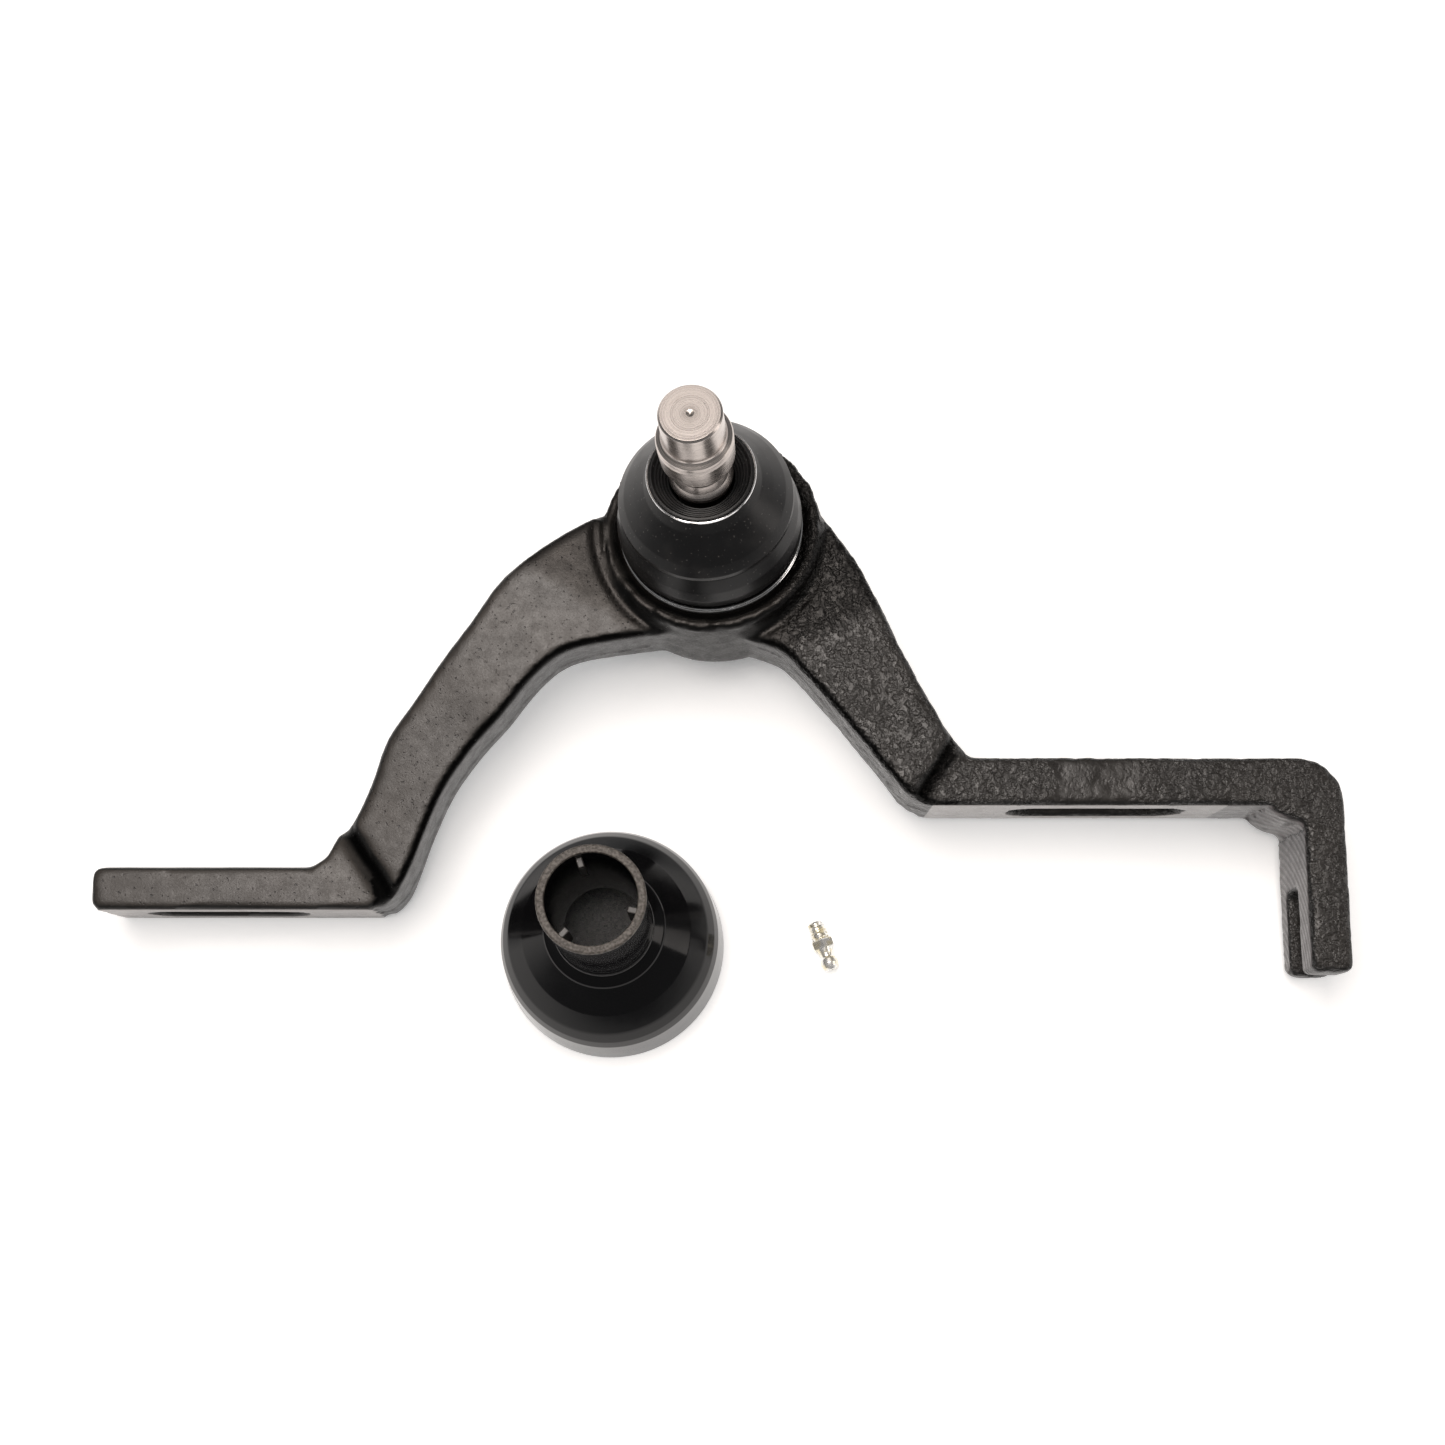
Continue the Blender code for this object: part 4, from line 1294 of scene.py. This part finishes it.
@dataclass
class GreaseFitting:
    """The straight grease fitting that lies on the floor."""

    ball_height: float = 13.65
    length: float = 16.0
    flats: float = 6.35
    thread_top: float = 6.0
    hex_top: float = 8.8

    def build(self) -> None:
        """Make the body, the hexagon, the thread, the check ball and its spring."""
        place = fitting_place()
        zinc = ZINC.make()
        end = self.length
        profile = rounded([
            (0.75, end - 1.4, 0), (0.8, end, 0.15), (1.75, end, 0.3), (2.45, end - 0.8, 0.3),
            (2.85, end - 2.2, 0.8), (2.4, end - 3.7, 0.8), (1.9, end - 4.4, 0.5), (2.1, end - 5.6, 0.5),
            (2.6, self.hex_top - 0.2, 0.2), (2.6, self.thread_top, 0.1), (2.2, self.thread_top - 0.5, 0.2),
            (2.35, self.thread_top - 0.9, 0.1), (2.25, 0.6, 0.1), (1.9, 0.0, 0.2), (0.9, 0.0, 0.1),
            (0.85, 1.0, 0.1), (1.4, 1.2, 0.1), (1.4, end - 2.4, 0.1)], 4)
        body = dress(lathe("fitting_turned", profile, place, 64, closed=True), zinc)
        hand_over(body, "grease_fitting", "fitting_zinc", "fitting_body")
        self.hexagon(place, zinc)
        coil = coil_work()
        start = place @ Matrix.Translation((0.0, 0.0, 0.5 * MM))
        thread = coil.bake("fitting_thread", start, zinc, 60.0, Turns=5.2, Radius=2.3, End_Radius=2.45,
                           Height=4.9, Wire=0.46, Sides=3)
        hand_over(thread, "grease_fitting", "fitting_zinc")
        foot = place @ Matrix.Translation((0.0, 0.0, 1.6 * MM))
        spring = coil.bake("fitting_spring", foot, SPRING.make(place), Turns=7.0, Radius=1.05,
                           End_Radius=1.05, Height=self.ball_height - 3.8, Wire=0.17, Sides=8)
        hand_over(spring, "grease_fitting", "spring_steel", "check_spring")
        ball = dress(lathe("fitting_ball", arc(1.2, 0.0, math.pi, 20, self.ball_height), place, 40),
                     WIRE.make())
        hand_over(ball, "fitting_check", "bright_wire", "check_ball")

    def hexagon(self, place: Matrix, zinc: bpy.types.Material) -> None:
        """The hexagon, chamfered at both ends.

        Args:
            place: the fitting's frame.
            zinc: its material.
        """
        bm = bmesh.new()
        reach = self.flats / math.sqrt(3.0)
        levels = ((self.thread_top, reach * 0.93), (self.thread_top + 0.35, reach),
                  (self.hex_top - 0.35, reach), (self.hex_top, reach * 0.93))
        rings = [[bm.verts.new((radius * math.cos(math.tau * k / 6), radius * math.sin(math.tau * k / 6),
                                height)) for k in range(6)] for height, radius in levels]
        for first, second in zip(rings, rings[1:]):
            for k in range(6):
                bm.faces.new((first[k], first[k - 5], second[k - 5], second[k]))
        bm.faces.new(rings[0])
        bm.faces.new(rings[-1])
        piece = dress(finish_mesh(bm, "fitting_hexagon", place, 20.0), zinc)
        hand_over(piece, "grease_fitting", "fitting_zinc")


# ---------------------------------------------------------------- studio


@dataclass
class Studio:
    """Pale floor, soft light and the camera."""

    eye: Vector = field(default_factory=lambda: Vector((0.01661, -0.17531, 0.62050)))
    forward: Vector = field(default_factory=lambda: Vector((-0.02576, 0.27180, -0.96201)))
    above: Vector = field(default_factory=lambda: Vector((0.00467, 0.96235, 0.27177)))
    focal: float = 49.83
    sensor: float = 36.0
    nearest: float = 0.01
    half: float = 3.0
    cover_reach: float = 0.12
    sky: float = 0.16
    warmth: Colour = (1.0, 0.93, 0.88)
    glow: float = 0.42

    def build(self) -> None:
        """Set the floor, the lights, the world and the camera."""
        self.floor()
        self.world()
        self.softbox("softbox_over", (-0.16, 0.07, 1.20), (-0.16, 0.07, 0.0), (0.68, 0.80), 12.0)
        self.softbox("softbox_back", (-0.16, 0.85, 1.00), (0.0, 0.05, 0.1), (0.8, 0.34), 1.2)
        self.softbox("softbox_right", (0.95, -0.05, 0.42), (0.0, 0.0, 0.03), (0.35, 0.7), 1.6)
        self.camera()
        bpy.context.scene.view_settings.view_transform = "Standard"

    def floor(self) -> None:
        """A wide plain sheet with a faint tooth that glows to look white, with painted shade where
        something covers it.
        """
        half = self.half
        bm = bmesh.new()
        corners = ((-half, -half), (half, -half), (half, half), (-half, half))
        bm.faces.new([bm.verts.new((x, y, 0.0)) for x, y in corners])
        mesh = bpy.data.meshes.new("studio_floor")
        bm.to_mesh(mesh)
        bm.free()
        sheet = show("studio_floor", mesh)
        s = Shader("floor_paper")
        tooth = s.noise(s.where(), 1.5, 2.0)
        paper = s.mix(s.span(tooth, 0.3, 0.7), (0.90, 0.90, 0.90), (0.93, 0.93, 0.93))
        open_sky = s.add("ShaderNodeAmbientOcclusion", samples=8)
        open_sky.inputs["Distance"].default_value = self.cover_reach
        bare = open_sky.outputs["AO"]
        # Painted shade: the glow fades where something covers the floor, and under close cover, as inside
        # the shield, the colour turns near black.
        glow = s.span(bare, 0.10, 0.42, 0.0, self.glow)
        s.set(Base_Color=s.mix(s.span(bare, 0.03, 0.12), (0.02, 0.02, 0.02), paper))
        s.set(Roughness=0.85, Emission_Color=(1.0, 1.0, 1.0), Emission_Strength=glow)
        dress(sheet, s.material)

    def world(self) -> None:
        """An even pale surrounding."""
        world = bpy.data.worlds.new("studio_world")
        bpy.context.scene.world = world
        world.use_nodes = True
        background = world.node_tree.nodes["Background"]
        background.inputs["Color"].default_value = (1.0, 1.0, 1.0, 1.0)
        background.inputs["Strength"].default_value = self.sky

    def softbox(self, name: str, where: Colour, target: Colour,
                size: Point, power: float) -> None:
        """Add a rectangular soft light.

        Args:
            name: the light's name.
            where: its place in metres.
            target: the point that it faces.
            size: its width and height in metres.
            power: its power in watts.
        """
        data = bpy.data.lights.new(name, "AREA")
        data.shape = "RECTANGLE"
        data.size, data.size_y = size
        data.energy = power
        data.color = self.warmth
        lamp = show(name, data)
        lamp.location = where
        lamp.rotation_euler = (Vector(target) - Vector(where)).to_track_quat("-Z", "Y").to_euler()

    def camera(self) -> None:
        """The camera, high over the floor and looking down past the bars."""
        data = bpy.data.cameras.new("studio_camera")
        data.lens = self.focal
        data.sensor_width = self.sensor
        data.clip_start = self.nearest
        back = -self.forward.normalized()
        right = self.above.cross(back).normalized()
        turn = Matrix((right, back.cross(right), back)).transposed()
        camera = show("studio_camera", data)
        eye = arm_place().translation + self.eye
        camera.matrix_world = Matrix.Translation(eye) @ turn.to_4x4()
        bpy.context.scene.camera = camera


def main() -> None:
    """Build every sub-assembly, then the studio."""
    logging.basicConfig(level=logging.INFO, format="%(message)s")
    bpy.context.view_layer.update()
    for part in (Forging(), BallJoint(), DustShield(), GreaseFitting(), Studio()):
        part.build()
        log.info("%s is built", type(part).__name__)


if __name__ == "__main__":
    main()
